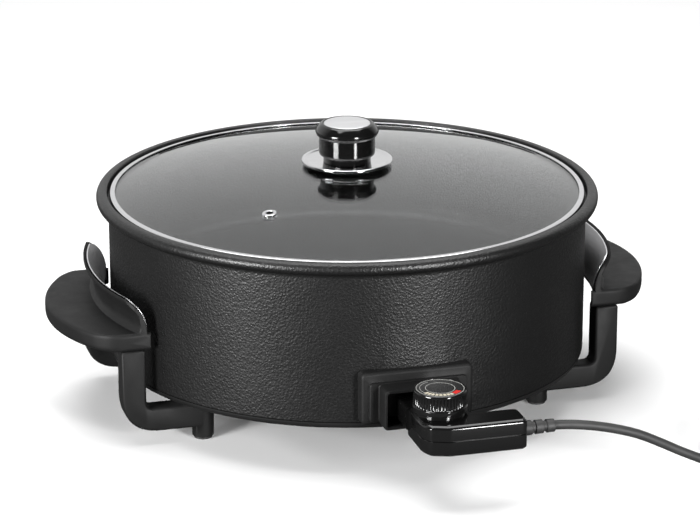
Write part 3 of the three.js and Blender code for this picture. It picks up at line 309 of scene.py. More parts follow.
# ---- shader helpers ----------------------------------------------------------------------------
class Sheet:
    """Adds and links nodes in one tree."""

    def __init__(self, tree: bpy.types.NodeTree) -> None:
        """Work on a tree."""
        self.tree = tree

    def add(self, kind: str, **values: object) -> bpy.types.Node:
        """Add a node and set its properties."""
        node = self.tree.nodes.new(kind)
        for key, value in values.items():
            setattr(node, key, value)
        return node

    def link(self, source: object, target: object) -> None:
        """Join two sockets."""
        self.tree.links.new(source, target)

    def feed(self, socket: object, value: object) -> None:
        """Set a socket to a constant, or link it to another socket."""
        if isinstance(value, bpy.types.NodeSocket):
            self.link(value, socket)
        else:
            socket.default_value = value

    def math(self, operation: str, a: object, b: object = 0.0) -> bpy.types.NodeSocket:
        """Combine two values."""
        node = self.add("ShaderNodeMath", operation=operation)
        self.feed(node.inputs[0], a)
        self.feed(node.inputs[1], b)
        return node.outputs[0]

    def span(self, value: object, low: float, high: float, to_low: object,
             to_high: object) -> bpy.types.NodeSocket:
        """Map a value from one range to another, held at its ends."""
        node = self.add("ShaderNodeMapRange", clamp=True)
        for socket, given in zip(node.inputs, (value, low, high, to_low, to_high)):
            self.feed(socket, given)
        return node.outputs[0]

    def blend(self, share: object, a: object, b: object) -> bpy.types.NodeSocket:
        """Mix two colours."""
        node = self.add("ShaderNodeMix", data_type="RGBA")
        self.feed(node.inputs[0], share)
        self.feed(node.inputs[6], a)
        self.feed(node.inputs[7], b)
        return node.outputs[2]

    def noise(self, where: object, scale: object, detail: float = 2.0,
              rough: float = 0.5) -> bpy.types.NodeSocket:
        """Smooth noise at a position."""
        node = self.add("ShaderNodeTexNoise")
        self.feed(node.inputs["Vector"], where)
        self.feed(node.inputs["Scale"], scale)
        node.inputs["Detail"].default_value = detail
        node.inputs["Roughness"].default_value = rough
        return node.outputs["Fac"]


def grey(value: float) -> tuple[float, float, float, float]:
    """A neutral colour."""
    return (value, value, value, 1.0)


def new_group(name: str, inputs: dict[str, float], outputs: Sequence[str]) -> tuple[Sheet, dict, dict]:
    """Start a shader node group of plain values.

    Args:
        name: The group's name.
        inputs: Input names and their first values.
        outputs: Output names.

    Returns:
        The sheet, its input sockets and its output sockets by name.
    """
    tree = bpy.data.node_groups.new(name, "ShaderNodeTree")
    for label, value in inputs.items():
        socket = tree.interface.new_socket(name=label, in_out="INPUT", socket_type="NodeSocketFloat")
        socket.default_value = value
    for label in outputs:
        tree.interface.new_socket(name=label, in_out="OUTPUT", socket_type="NodeSocketFloat")
    sheet = Sheet(tree)
    entry = sheet.add("NodeGroupInput")
    leave = sheet.add("NodeGroupOutput")
    return sheet, {s.name: s for s in entry.outputs}, {s.name: s for s in leave.inputs}


class Effects:
    """Surface effects shared by the finishes, each a node group built once."""

    def __init__(self) -> None:
        """Build every group."""
        self.hammer = self._hammer()
        self.grain = self._grain()
        self.edge = self._edge()
        self.brushed = self._brushed()
        self.smudge = self._smudge()

    def _hammer(self) -> bpy.types.NodeTree:
        """Orange-peel dimples of a hammertone coat: a height, and a mask of its crowns that the coat uses for
        a painted glint.
        """
        sheet, given, out = new_group("hammer_dimples", {"Size mm": 1.8, "Uneven": 0.5}, ["Height", "Crowns"])
        place = sheet.add("ShaderNodeTexCoord").outputs["Object"]
        scale = sheet.math("DIVIDE", 1000.0, given["Size mm"])
        cells = sheet.add("ShaderNodeTexVoronoi", feature="SMOOTH_F1")
        sheet.link(place, cells.inputs["Vector"])
        sheet.link(scale, cells.inputs["Scale"])
        cells.inputs["Smoothness"].default_value = 0.9
        swell = sheet.noise(place, sheet.math("MULTIPLY", scale, 0.8), 2.0, 0.6)
        height = sheet.math("ADD", sheet.math("SUBTRACT", 0.9, cells.outputs["Distance"]),
                            sheet.math("MULTIPLY", swell, given["Uneven"]))
        sheet.link(height, out["Height"])
        sheet.link(sheet.span(height, 0.7, 1.15, 0.0, 1.0), out["Crowns"])
        return sheet.tree

    def _grain(self) -> bpy.types.NodeTree:
        """Fine spark-eroded grain of moulded plastic."""
        sheet, given, out = new_group("mould_grain", {"Size mm": 0.5}, ["Height", "Mottle"])
        place = sheet.add("ShaderNodeTexCoord").outputs["Object"]
        scale = sheet.math("DIVIDE", 1000.0, given["Size mm"])
        sheet.link(sheet.noise(place, scale, 3.0, 0.65), out["Height"])
        sheet.link(sheet.noise(place, sheet.math("MULTIPLY", scale, 0.03), 3.0, 0.6), out["Mottle"])
        return sheet.tree

    def _edge(self) -> bpy.types.NodeTree:
        """Rubbed edges: a mask that is high where the surface bends outwards."""
        sheet, given, out = new_group("edge_wear", {"Reach": 0.06, "Break up": 0.5}, ["Mask"])
        bend = sheet.add("ShaderNodeNewGeometry").outputs["Pointiness"]
        place = sheet.add("ShaderNodeTexCoord").outputs["Object"]
        patch = sheet.math("MULTIPLY", sheet.noise(place, 160.0, 3.0, 0.7), given["Break up"])
        raised = sheet.math("DIVIDE", sheet.math("SUBTRACT", bend, 0.5), given["Reach"])
        mask = sheet.span(sheet.math("SUBTRACT", raised, patch), 0.0, 1.0, 0.0, 1.0)
        sheet.link(mask, out["Mask"])
        return sheet.tree

    def _brushed(self) -> bpy.types.NodeTree:
        """Fine lines of brushed or spun metal, drawn out along X."""
        sheet, given, out = new_group("brushed_lines", {"Line mm": 0.35, "Length": 40.0},
                                      ["Height", "Streak"])
        place = sheet.add("ShaderNodeTexCoord").outputs["Object"]
        scale = sheet.math("DIVIDE", 1000.0, given["Line mm"])
        parts = sheet.add("ShaderNodeSeparateXYZ")
        sheet.link(place, parts.inputs[0])
        joined = sheet.add("ShaderNodeCombineXYZ")
        sheet.link(sheet.math("DIVIDE", parts.outputs[0], given["Length"]), joined.inputs[0])
        sheet.link(parts.outputs[1], joined.inputs[1])
        sheet.link(parts.outputs[2], joined.inputs[2])
        sheet.link(sheet.noise(joined.outputs[0], scale, 2.0, 0.6), out["Height"])
        broad = sheet.math("MULTIPLY", scale, 0.15)
        sheet.link(sheet.noise(joined.outputs[0], broad, 3.0, 0.6), out["Streak"])
        return sheet.tree

    def _smudge(self) -> bpy.types.NodeTree:
        """Faint handling marks and dust as one soft mask."""
        sheet, given, out = new_group("handling_marks", {"Patch mm": 40.0, "Dust": 0.3}, ["Mask"])
        place = sheet.add("ShaderNodeTexCoord").outputs["Object"]
        patch = sheet.noise(place, sheet.math("DIVIDE", 1000.0, given["Patch mm"]), 5.0, 0.62)
        specks = sheet.span(sheet.noise(place, 1400.0, 2.0, 0.5), 0.68, 0.78, 0.0, given["Dust"])
        sheet.link(sheet.math("ADD", sheet.span(patch, 0.35, 0.75, 0.0, 1.0), specks), out["Mask"])
        return sheet.tree


EFFECTS = Effects()


class Paint:
    """A material under way: its Principled shader and the nodes that feed it."""

    def __init__(self, name: str) -> None:
        """Start a material with a bare Principled shader."""
        self.material = bpy.data.materials.new(name)
        self.material.use_nodes = True
        self.sheet = Sheet(self.material.node_tree)
        self.shader = self.material.node_tree.nodes["Principled BSDF"]

    def set(self, **values: object) -> "Paint":
        """Set or link inputs of the shader, underscores standing for spaces."""
        for key, value in values.items():
            self.sheet.feed(self.shader.inputs[key.replace("_", " ")], value)
        return self

    def effect(self, group: bpy.types.NodeTree, **values: float) -> dict[str, bpy.types.NodeSocket]:
        """Place a shared effect with its own values and return its outputs."""
        node = self.sheet.add("ShaderNodeGroup", node_tree=group)
        for key, value in values.items():
            node.inputs[key.replace("_", " ")].default_value = value
        return {s.name: s for s in node.outputs}

    def bump(self, height: object, depth_mm: float, strength: float = 1.0) -> "Paint":
        """Raise the surface by a height pattern.

        Args:
            height: The pattern.
            depth_mm: How deep the pattern is.
            strength: How much of it shows.

        Returns:
            This paint.
        """
        node = self.sheet.add("ShaderNodeBump")
        node.inputs["Strength"].default_value = strength
        node.inputs["Distance"].default_value = depth_mm * MM
        self.sheet.feed(node.inputs["Height"], height)
        self.sheet.link(node.outputs["Normal"], self.shader.inputs["Normal"])
        return self


@dataclass(frozen=True)
class HammertoneCoat:
    """Black hammertone paint on the skirt, its dimple crowns painted a shade lighter as a painted glint."""

    # light is the colour of the dimple crowns, a painted glint; dark is the colour of the hollows
    dark: float = 0.002
    light: float = 0.005
    dimple_mm: float = 1.7
    depth_mm: float = 0.25

    def build(self) -> bpy.types.Material:
        """Make the material."""
        paint = Paint("hammertone_coat")
        hammer = paint.effect(EFFECTS.hammer, Size_mm=self.dimple_mm, Uneven=0.7)
        marks = paint.effect(EFFECTS.smudge, Patch_mm=60.0, Dust=0.15)["Mask"]
        # painted glint: the crowns are coloured lighter than the hollows
        colour = paint.sheet.blend(hammer["Crowns"], grey(self.dark), grey(self.light))
        gloss = paint.sheet.span(hammer["Crowns"], 0.0, 1.0, 0.42, 0.3)
        rough = paint.sheet.math("ADD", gloss, paint.sheet.math("MULTIPLY", marks, 0.05))
        paint.set(Base_Color=colour, Roughness=rough)
        return paint.bump(hammer["Height"], self.depth_mm).material


@dataclass(frozen=True)
class NonStickCoat:
    """Satin black non-stick coat with fine sprayed specks."""

    tone: float = 0.009
    rough: float = 0.33

    def build(self) -> bpy.types.Material:
        """Make the material."""
        paint = Paint("non_stick_coat")
        grain = paint.effect(EFFECTS.grain, Size_mm=0.7)
        wear = paint.effect(EFFECTS.edge, Reach=0.09, Break_up=0.9)["Mask"]
        colour = paint.sheet.blend(paint.sheet.math("MULTIPLY", wear, 0.1), grey(self.tone), grey(0.06))
        rough = paint.sheet.span(grain["Mottle"], 0.3, 0.7, self.rough - 0.05, self.rough + 0.07)
        paint.set(Base_Color=colour, Roughness=rough)
        return paint.bump(grain["Height"], 0.04, 0.6).material


@dataclass(frozen=True)
class MouldedPlastic:
    """Black moulded plastic, from satin phenolic to polished."""

    name: str
    tone: float
    rough: float
    grain_mm: float = 0.45
    depth_mm: float = 0.03
    coat: float = 0.0
    rub: float = 0.4
    gloss: float = 0.5

    def build(self) -> bpy.types.Material:
        """Make the material."""
        paint = Paint(self.name)
        grain = paint.effect(EFFECTS.grain, Size_mm=self.grain_mm)
        wear = paint.effect(EFFECTS.edge, Reach=0.1, Break_up=0.7)["Mask"]
        marks = paint.effect(EFFECTS.smudge, Patch_mm=25.0, Dust=0.25)["Mask"]
        base = paint.sheet.blend(grain["Mottle"], grey(self.tone * 0.85), grey(self.tone * 1.15))
        colour = paint.sheet.blend(paint.sheet.math("MULTIPLY", wear, self.rub), base,
                                   grey(self.tone * 2.2 + 0.01))
        rough = paint.sheet.math("ADD", paint.sheet.span(grain["Mottle"], 0.3, 0.7, self.rough,
                                                         self.rough * 1.2),
                                 paint.sheet.math("MULTIPLY", marks, 0.06))
        paint.set(Base_Color=colour, Roughness=rough, Specular_IOR_Level=self.gloss, Coat_Weight=self.coat,
                  Coat_Roughness=0.06)
        return paint.bump(grain["Height"], self.depth_mm, 0.7).material


@dataclass(frozen=True)
class SheetMetal:
    """Steel, aluminium, nickel or brass, brushed or polished."""

    name: str
    colour: tuple[float, float, float]
    rough: float
    line_mm: float = 0.3
    depth_mm: float = 0.004

    def build(self) -> bpy.types.Material:
        """Make the material."""
        paint = Paint(self.name)
        lines = paint.effect(EFFECTS.brushed, Line_mm=self.line_mm)
        marks = paint.effect(EFFECTS.smudge, Patch_mm=30.0, Dust=0.2)["Mask"]
        dull = tuple(c * 0.86 for c in self.colour) + (1.0,)
        colour = paint.sheet.blend(lines["Streak"], dull, (*self.colour, 1.0))
        rough = paint.sheet.math("ADD", paint.sheet.span(lines["Streak"], 0.3, 0.7, self.rough * 0.8,
                                                         self.rough * 1.25),
                                 paint.sheet.math("MULTIPLY", marks, 0.05))
        paint.set(Base_Color=colour, Roughness=rough, Metallic=1.0)
        return paint.bump(lines["Height"], self.depth_mm, 0.6).material


@dataclass(frozen=True)
class ClearGlass:
    """Toughened lid glass, faintly grey, with a trace of handling marks."""

    tint: tuple[float, float, float] = (0.86, 0.88, 0.88)

    def build(self) -> bpy.types.Material:
        """Make the material."""
        paint = Paint("lid_glass_clear")
        marks = paint.effect(EFFECTS.smudge, Patch_mm=50.0, Dust=0.0)["Mask"]
        rough = paint.sheet.span(marks, 0.0, 1.0, 0.0, 0.035)
        paint.set(Base_Color=(*self.tint, 1.0), Roughness=rough, IOR=1.5, Transmission_Weight=1.0)
        return paint.material


@dataclass(frozen=True)
class SoftRubber:
    """Dull black cord and foot rubber."""

    name: str = "soft_rubber"
    tone: float = 0.02
    rough: float = 0.55

    def build(self) -> bpy.types.Material:
        """Make the material."""
        paint = Paint(self.name)
        grain = paint.effect(EFFECTS.grain, Size_mm=0.8)
        marks = paint.effect(EFFECTS.smudge, Patch_mm=20.0, Dust=0.6)["Mask"]
        colour = paint.sheet.blend(paint.sheet.math("MULTIPLY", marks, 0.3), grey(self.tone),
                                   grey(self.tone * 2.4))
        rough = paint.sheet.span(grain["Mottle"], 0.3, 0.7, self.rough - 0.05, self.rough + 0.08)
        paint.set(Base_Color=colour, Roughness=rough)
        return paint.bump(grain["Height"], 0.05, 0.5).material


@dataclass(frozen=True)
class FiredCeramic:
    """Pale fired ceramic, the real colour of the terminal block, which is instead painted dark as shade."""

    tone: tuple[float, float, float] = (0.72, 0.69, 0.6)

    def build(self) -> bpy.types.Material:
        """Make the material."""
        paint = Paint("fired_ceramic")
        grain = paint.effect(EFFECTS.grain, Size_mm=0.3)
        dull = tuple(c * 0.85 for c in self.tone) + (1.0,)
        colour = paint.sheet.blend(grain["Mottle"], dull, (*self.tone, 1.0))
        paint.set(Base_Color=colour, Roughness=paint.sheet.span(grain["Mottle"], 0.3, 0.7, 0.5, 0.7))
        return paint.bump(grain["Height"], 0.05, 0.6).material


@dataclass(frozen=True)
class PrintInk:
    """Printed marks on the dial."""

    name: str
    colour: tuple[float, float, float]

    def build(self) -> bpy.types.Material:
        """Make the material."""
        paint = Paint(self.name)
        grain = paint.effect(EFFECTS.grain, Size_mm=0.25)
        worn = tuple(c * 0.8 for c in self.colour) + (1.0,)
        colour = paint.sheet.blend(grain["Mottle"], worn, (*self.colour, 1.0))
        paint.set(Base_Color=colour, Roughness=paint.sheet.span(grain["Mottle"], 0.3, 0.7, 0.25, 0.4))
        return paint.material


class Finish(Enum):
    """Every finish of the pan, with the record's slot that it stands for."""

    HAMMERTONE = ("hammertone", HammertoneCoat())
    NON_STICK = ("hammertone", NonStickCoat())
    BASE_PAINT = ("hammertone", MouldedPlastic("base_paint", 0.008, 0.3, 0.9, 0.03, 0.2, 0.2))
    GLASS = ("clear_glass", ClearGlass())
    BRIGHT_STEEL = ("bright_steel", SheetMetal("bright_steel", (0.82, 0.82, 0.83), 0.09, 0.4, 0.001))
    SATIN_STEEL = ("satin_steel", SheetMetal("satin_steel", (0.78, 0.78, 0.79), 0.36, 0.25, 0.006))
    SATIN_BLACK = ("satin_black", MouldedPlastic("satin_phenolic", 0.007, 0.5, gloss=0.22))
    GLOSS_BLACK = ("gloss_black", MouldedPlastic("polished_phenolic", 0.004, 0.08, 1.5, 0.004, 0.2, 0.1))
    RUBBER = ("rubber", SoftRubber())
    CAST = ("cast_aluminium", SheetMetal("cast_aluminium", (0.5, 0.5, 0.51), 0.45, 1.2, 0.05))
    CERAMIC = ("ceramic", FiredCeramic())
    # painted shade: the cream ceramic terminal block is coloured near black for the shade in the socket
    # cavity
    SHADED_CERAMIC = ("ceramic", MouldedPlastic("cavity_shade_ceramic", 0.03, 0.5, 0.3, 0.04))
    NICKEL = ("nickel", SheetMetal("nickel_plate", (0.62, 0.6, 0.55), 0.2, 0.4, 0.003))
    BRASS = ("brass", SheetMetal("brass_spring", (0.62, 0.43, 0.14), 0.28, 0.3, 0.004))
    DIAL_BLACK = ("dial_print", MouldedPlastic("dial_face_black", 0.012, 0.22, 0.6, 0.005, 0.2, 0.1))
    CREAM_INK = ("dial_print", PrintInk("cream_ink", (0.62, 0.57, 0.45)))
    PALE_INK = ("dial_print", PrintInk("pale_ink", (0.42, 0.42, 0.4)))
    RED_INK = ("dial_print", PrintInk("red_ink", (0.62, 0.02, 0.015)))

    @property
    def slot(self) -> str:
        """The record's material slot."""
        return self.value[0]

    @property
    def material(self) -> bpy.types.Material:
        """The material, built the first time it is asked for."""
        if self.name not in MATERIALS:
            MATERIALS[self.name] = self.value[1].build()
        return MATERIALS[self.name]


MATERIALS: dict[str, bpy.types.Material] = {}


def dress(obj: bpy.types.Object, finish: Finish, body: Body, *nodes: str,
          more: Sequence[Finish] = (), sharp_deg: float = 38.0) -> bpy.types.Object:
    """Give a piece its finish and body, and hide the frame's nodes that it stands for.

    Args:
        obj: The piece.
        finish: Its main finish.
        body: The body it rides on.
        nodes: The frame's nodes that it replaces.
        more: Finishes of its further material slots.
        sharp_deg: Edges that bend more than this stay crisp.

    Returns:
        The piece.
    """
    obj.data.materials.clear()
    for each in (finish, *more):
        obj.data.materials.append(each.material)
    if obj.type == "MESH":
        obj.data.shade_smooth()
        obj.data.set_sharp_from_angle(angle=math.radians(sharp_deg))
    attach(obj, body.value)
    if nodes:
        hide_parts(*nodes)
    log.info("%s rides on %s", obj.name, body.value)
    return obj


def soften(obj: bpy.types.Object, width_mm: float, segments: int = 3,
           angle_deg: float = 35.0) -> bpy.types.Object:
    """Round the crisp edges of a piece."""
    bevel = obj.modifiers.new("soften", "BEVEL")
    bevel.width = width_mm * MM
    bevel.segments = segments
    bevel.limit_method = "ANGLE"
    bevel.angle_limit = math.radians(angle_deg)
    bevel.harden_normals = True
    return obj


def baked(obj: bpy.types.Object) -> bpy.types.Object:
    """Fix an object's modifiers into its mesh."""
    graph = bpy.context.evaluated_depsgraph_get()
    data = bpy.data.meshes.new_from_object(obj.evaluated_get(graph))
    obj.modifiers.clear()
    old, obj.data = obj.data, data
    bpy.data.meshes.remove(old)
    return obj


def twin(obj: bpy.types.Object, name: str, sx: int, sy: int) -> bpy.types.Object:
    """Copy a finished object to another side of the pan.

    Args:
        obj: The object to copy, made on the right and rear.
        name: The copy's name.
        sx: Sign of X.
        sy: Sign of Y.

    Returns:
        The copy.
    """
    data = obj.data.copy()
    shift = Matrix.Translation(AXIS.at(0, 0, 0))
    data.transform(shift @ Matrix.Diagonal((sx, sy, 1, 1)) @ shift.inverted())
    if sx * sy < 0:
        data.flip_normals()
    copy = bpy.data.objects.new(name, data)
    bpy.context.scene.collection.objects.link(copy)
    return copy


# ---- camera, light and floor -------------------------------------------------------------------
@dataclass
class Studio:
    """Pale sweep, soft lights and the camera."""

    camera_place: Solid = (-0.6765, -2.3672, 0.955)
    camera_pitch: float = 0.325
    camera_heading: float = 0.2750
    lens_mm: float = 160.5
    sensor_mm: float = 36.0
    floor_size: float = 9.0
    floor_tone: float = 0.97
    floor_bounce: float = 0.08
    dark_from: float = 0.1
    bright_from: float = 0.6
    front_glow: float = 0.02
    rear_glow: float = 0.82

    def build(self) -> None:
        """Make the camera, the lights and the floor."""
        bpy.context.scene.view_settings.view_transform = "Standard"
        self._camera()
        self._world()
        self._floor()
        self._softbox("softbox_left", (-2.3, -1.2, 0.52), (0.9, 1.0), 120.0, (0.0, 0.0, 0.1))
        self._softbox("softbox_right", (0.85, -2.45, 0.52), (0.4, 1.0), 85.0, (0.0, 0.0, 0.1))
        self._softbox("overhead", (0.0, 0.2, 2.3), (2.4, 1.8), 60.0, (0.0, 0.0, 0.1))

    def _camera(self) -> None:
        """Look down at the pan from the front left."""
        data = bpy.data.cameras.new("camera")
        data.lens = self.lens_mm
        data.sensor_width = self.sensor_mm
        data.clip_end = 60
        camera = bpy.data.objects.new("camera", data)
        camera.location = self.camera_place
        camera.rotation_euler = (math.pi / 2 - self.camera_pitch, 0, -self.camera_heading)
        bpy.context.scene.collection.objects.link(camera)
        bpy.context.scene.camera = camera

    def _world(self) -> None:
        """Bright behind the pan, dark behind the camera."""
        world = bpy.data.worlds.new("studio")
        world.use_nodes = True
        sheet = Sheet(world.node_tree)
        back = world.node_tree.nodes["Background"]
        back.inputs["Color"].default_value = grey(1.0)
        parts = sheet.add("ShaderNodeSeparateXYZ")
        sheet.link(sheet.add("ShaderNodeTexCoord").outputs["Generated"], parts.inputs[0])
        around = sheet.span(parts.outputs[1], self.dark_from, self.bright_from, self.front_glow,
                            self.rear_glow)
        sheet.link(around, back.inputs["Strength"])
        bpy.context.scene.world = world

    def _floor(self) -> None:
        """A broad pale floor."""
        data = bpy.data.meshes.new("floor")
        half = self.floor_size / 2
        data.from_pydata([(-half, -half, 0), (half, -half, 0), (half, half, 0), (-half, half, 0)], [],
                         [(0, 1, 2, 3)])
        paint = Paint("pale_floor")
        seen = paint.sheet.add("ShaderNodeLightPath").outputs["Is Camera Ray"]
        colour = paint.sheet.blend(seen, grey(self.floor_bounce), grey(self.floor_tone))
        paint.set(Base_Color=colour, Roughness=0.8, Specular_IOR_Level=0.1)
        data.materials.append(paint.material)
        floor = bpy.data.objects.new("floor", data)
        bpy.context.scene.collection.objects.link(floor)
        floor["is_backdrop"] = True

    def _softbox(self, name: str, place: Solid, size: Flat, power: float, aim: Solid) -> None:
        """Hang one rectangular soft light.

        Args:
            name: The light's name.
            place: Where it hangs, in metres.
            size: Its width and height in metres.
            power: Its power in watts.
            aim: The point it faces.
        """
        data = bpy.data.lights.new(name, "AREA")
        data.shape = "RECTANGLE"
        data.size, data.size_y = size
        data.energy = power
        light = bpy.data.objects.new(name, data)
        light.location = place
        light.rotation_euler = (Vector(place) - Vector(aim)).to_track_quat("Z", "Y").to_euler()
        light.visible_camera = False
        bpy.context.scene.collection.objects.link(light)


# ---- mains lead --------------------------------------------------------------------------------
@dataclass
class MainsLead:
    """The cord from the strain relief to its coil and plug, with the pieces on it."""

    diameter: float = 7.5
    tail_y: float = -275.5
    exit_x: float = 92.0
    parting: float = 60.5
    fall: tuple[Flat, ...] = ((-0.005, 0), (0.07, 0.02), (0.17, 0.07), (0.28, 0.15), (0.4, 0.27),
                              (0.51, 0.43),
                              (0.63, 0.62), (0.75, 0.79), (0.85, 0.91), (0.93, 0.98), (1, 1))
    route_steps: int = 3
    coil_x: float = 287.0
    coil_y: float = -229.25
    coil_floor: float = 1.2
    coil_radius: float = 42.5
    coil_turns: float = 3.25
    turn_steps: int = 40
    plug_rear: float = -171.25
    plug_height: float = 18.0
    plug_boot: float = 26.0
    plug_length: float = 40.0
    pin_radius: float = 2.4
    pin_length: float = 19.0
    pin_spacing: float = 19.0
    strain_length: float = 28.0
    strain_radius: float = 6.0
    tie_angle: float = 2.2
    tie_width: float = 8.0
    pieces: list[bpy.types.Object] = field(default_factory=list)

    @property
    def low(self) -> float:
        """Height of the coil's lower runs."""
        return self.coil_floor + self.diameter / 2

    @property
    def plug_x(self) -> float:
        """The plug's axis, where the outer turn leaves the coil."""
        return self.coil_x + self.coil_radius + self.diameter / 2

    def build(self) -> None:
        """Make the cord and what is on it."""
        points = self._free_run() + self._coil() + self._plug_run()
        cord = self._curve(points)
        self._strain_relief()
        self._tie()
        self._plug()
        AXIS.at(self.exit_x, self.tail_y, self.parting)

    def _free_run(self) -> list[Vector]:
        """The visible fall from the strain relief to the floor."""
        begin, end = self.exit_x + 0.6, self.coil_x - 27.2
        flat = [(begin + (end - begin) * along, self.parting - (self.parting - self.low) * down)
                for along, down in self.fall]
        points = []
        for i in range(len(flat) - 1):
            a, b, c, d = (Vector(flat[max(0, min(len(flat) - 1, k))]) for k in (i - 1, i, i + 1, i + 2))
            for step in range(self.route_steps):
                t = step / self.route_steps
                p = 0.5 * (2 * b + (c - a) * t + (2 * a - 5 * b + 4 * c - d) * t**2
                           + (3 * b - a - 3 * c + d) * t**3)
                points.append(AXIS.at(p.x, self.tail_y, p.y))
        points.append(AXIS.at(flat[-1][0], self.tail_y, self.low))
        return points

    def _coil(self) -> list[Vector]:
        """Turns a diameter apart: lower outer, lower inner, upper inner, upper outer."""
        points = []
        steps = round(self.coil_turns * self.turn_steps)
        for i in range(steps + 1):
            turn = i / self.turn_steps
            inwards = smooth_step(0.7, 1.0, turn) - smooth_step(2.25, 2.5, turn)
            radius = self.coil_radius + self.diameter * (0.5 - inwards)
            height = self.low + self.diameter * smooth_step(1.4, 1.65, turn)
            angle = TAU * (turn - 0.25)
            points.append(AXIS.at(self.coil_x + radius * math.cos(angle),
                                  self.coil_y + radius * math.sin(angle), height))
        return points

    def _plug_run(self) -> list[Vector]:
        """The short rise from the coil into the plug."""
        start = self.low + self.diameter
        points = []
        for i in range(1, 9):
            share = i / 8
            y = self.coil_y + (self.plug_rear + 4 - self.coil_y) * share
            points.append(AXIS.at(self.plug_x, y,
                                  start + (self.plug_height - start) * smooth_step(0, 1, share)))
        return points

    def _curve(self, points: Sequence[Vector]) -> bpy.types.Object:
        """Make the cord as one open curve."""
        data = bpy.data.curves.new("mains_cord", "CURVE")
        data.dimensions = "3D"
        data.bevel_depth = self.diameter / 2 * MM
        data.bevel_resolution = 6
        data.use_fill_caps = True
        spline = data.splines.new("POLY")
        spline.points.add(len(points) - 1)
        for knot, p in zip(spline.points, points):
            knot.co = (*p, 1.0)
        spline.use_smooth = True
        obj = bpy.data.objects.new("mains_cord", data)
        bpy.context.scene.collection.objects.link(obj)
        return dress(obj, Finish.RUBBER, Body.CONTROL, "cord", "cord_coil", "plug_lead")

    def _strain_relief(self) -> None:
        """A tapered rubber sleeve with three ribs."""
        outline: list[Corner] = [(0, -4, 0), (4, -4, 0.2), (4, 0.3, 0.2)]
        pitch = self.strain_length / 3
        for i in range(3):
            z = 0.3 + i * pitch
            r = self.strain_radius - i * 0.35
            outline += [(r, z, 0.5), (r - 0.15, z + pitch * 0.7, 0.5), (r - 1.5, z + pitch * 0.7, 0.4),
                        (r - 1.6, z + pitch - 0.1, 0.2)]
        outline += [(0, 0.3 + self.strain_length, 0)]
        shape = Shape().revolve(ease(outline, 3, False), 48)
        shape.turned(Matrix.Translation((64 * MM, self.tail_y * MM,
                                         self.parting * MM)) @ Matrix.Rotation(math.pi / 2, 4, "Y"))
        dress(shape.blank("strain_relief_sleeve"), Finish.RUBBER, Body.CONTROL, "strain_relief")

    def _tie(self) -> None:
        """The strap round the coil's runs."""
        half = self.diameter + 0.9
        top = self.coil_floor + 2 * self.diameter + 0.3
        rings = []
        for grow, along in ((0.9, -1), (0.9, 1), (0, 1), (0, -1)):
            outline = box_outline(half + grow, 0.9 - grow, top + grow, 2.2 + grow, 4)
            rings.append([(self.coil_radius + x, along * self.tie_width / 2, z) for x, z in outline])
        shape = Shape().loft(rings, closed=True)
        place = Matrix.Translation((self.coil_x * MM, self.coil_y * MM,
                                    0)) @ Matrix.Rotation(self.tie_angle, 4, "Z")
        tie = dress(shape.turned(place).blank("cord_strap"), Finish.GLOSS_BLACK, Body.CONTROL, "cord_tie")
        self.pieces.append(tie)

    def _plug(self) -> None:
        """A round two-pin plug with a ribbed boot."""
        r, boot, full = self.plug_height, self.plug_boot, self.plug_boot + self.plug_length
        outline = ease([(0, 0, 0), (4.9, 0, 0.8), (6.8, boot * 0.8, 3), (10.7, boot, 2), (r - 2, boot + 7, 3),
                        (r - 0.1, boot + 12, 3), (r - 0.1, full - 0.2, 1.2), (0, full, 0)], 4, False)
        lay = Matrix.Rotation(-math.pi / 2, 4, "X")
        place = Matrix.Translation((self.plug_x * MM, self.plug_rear * MM, r * MM)) @ lay
        body = Shape().revolve(outline, 64).turned(place).blank("mains_plug")
        self.pieces.append(dress(body, Finish.RUBBER, Body.CONTROL, "plug_body"))
        for side in Side:
            p = self.pin_radius
            pin = Shape().revolve(ease([(0, 0, 0), (p, 0, 0), (p, self.pin_length - 1.4, 1.2),
                                        (1.2, self.pin_length, 0.6),
                                        (0, self.pin_length, 0)], 3, False), 24)
            shift = Matrix.Translation(((self.plug_x + side.value * self.pin_spacing / 2) * MM,
                                        (self.plug_rear + full + 0.3) * MM, r * MM)) @ lay
            label = side.name.lower()
            obj = pin.turned(shift).blank(f"mains_pin_{label}")
            self.pieces.append(dress(obj, Finish.NICKEL, Body.CONTROL, f"plug_pin_{label}"))


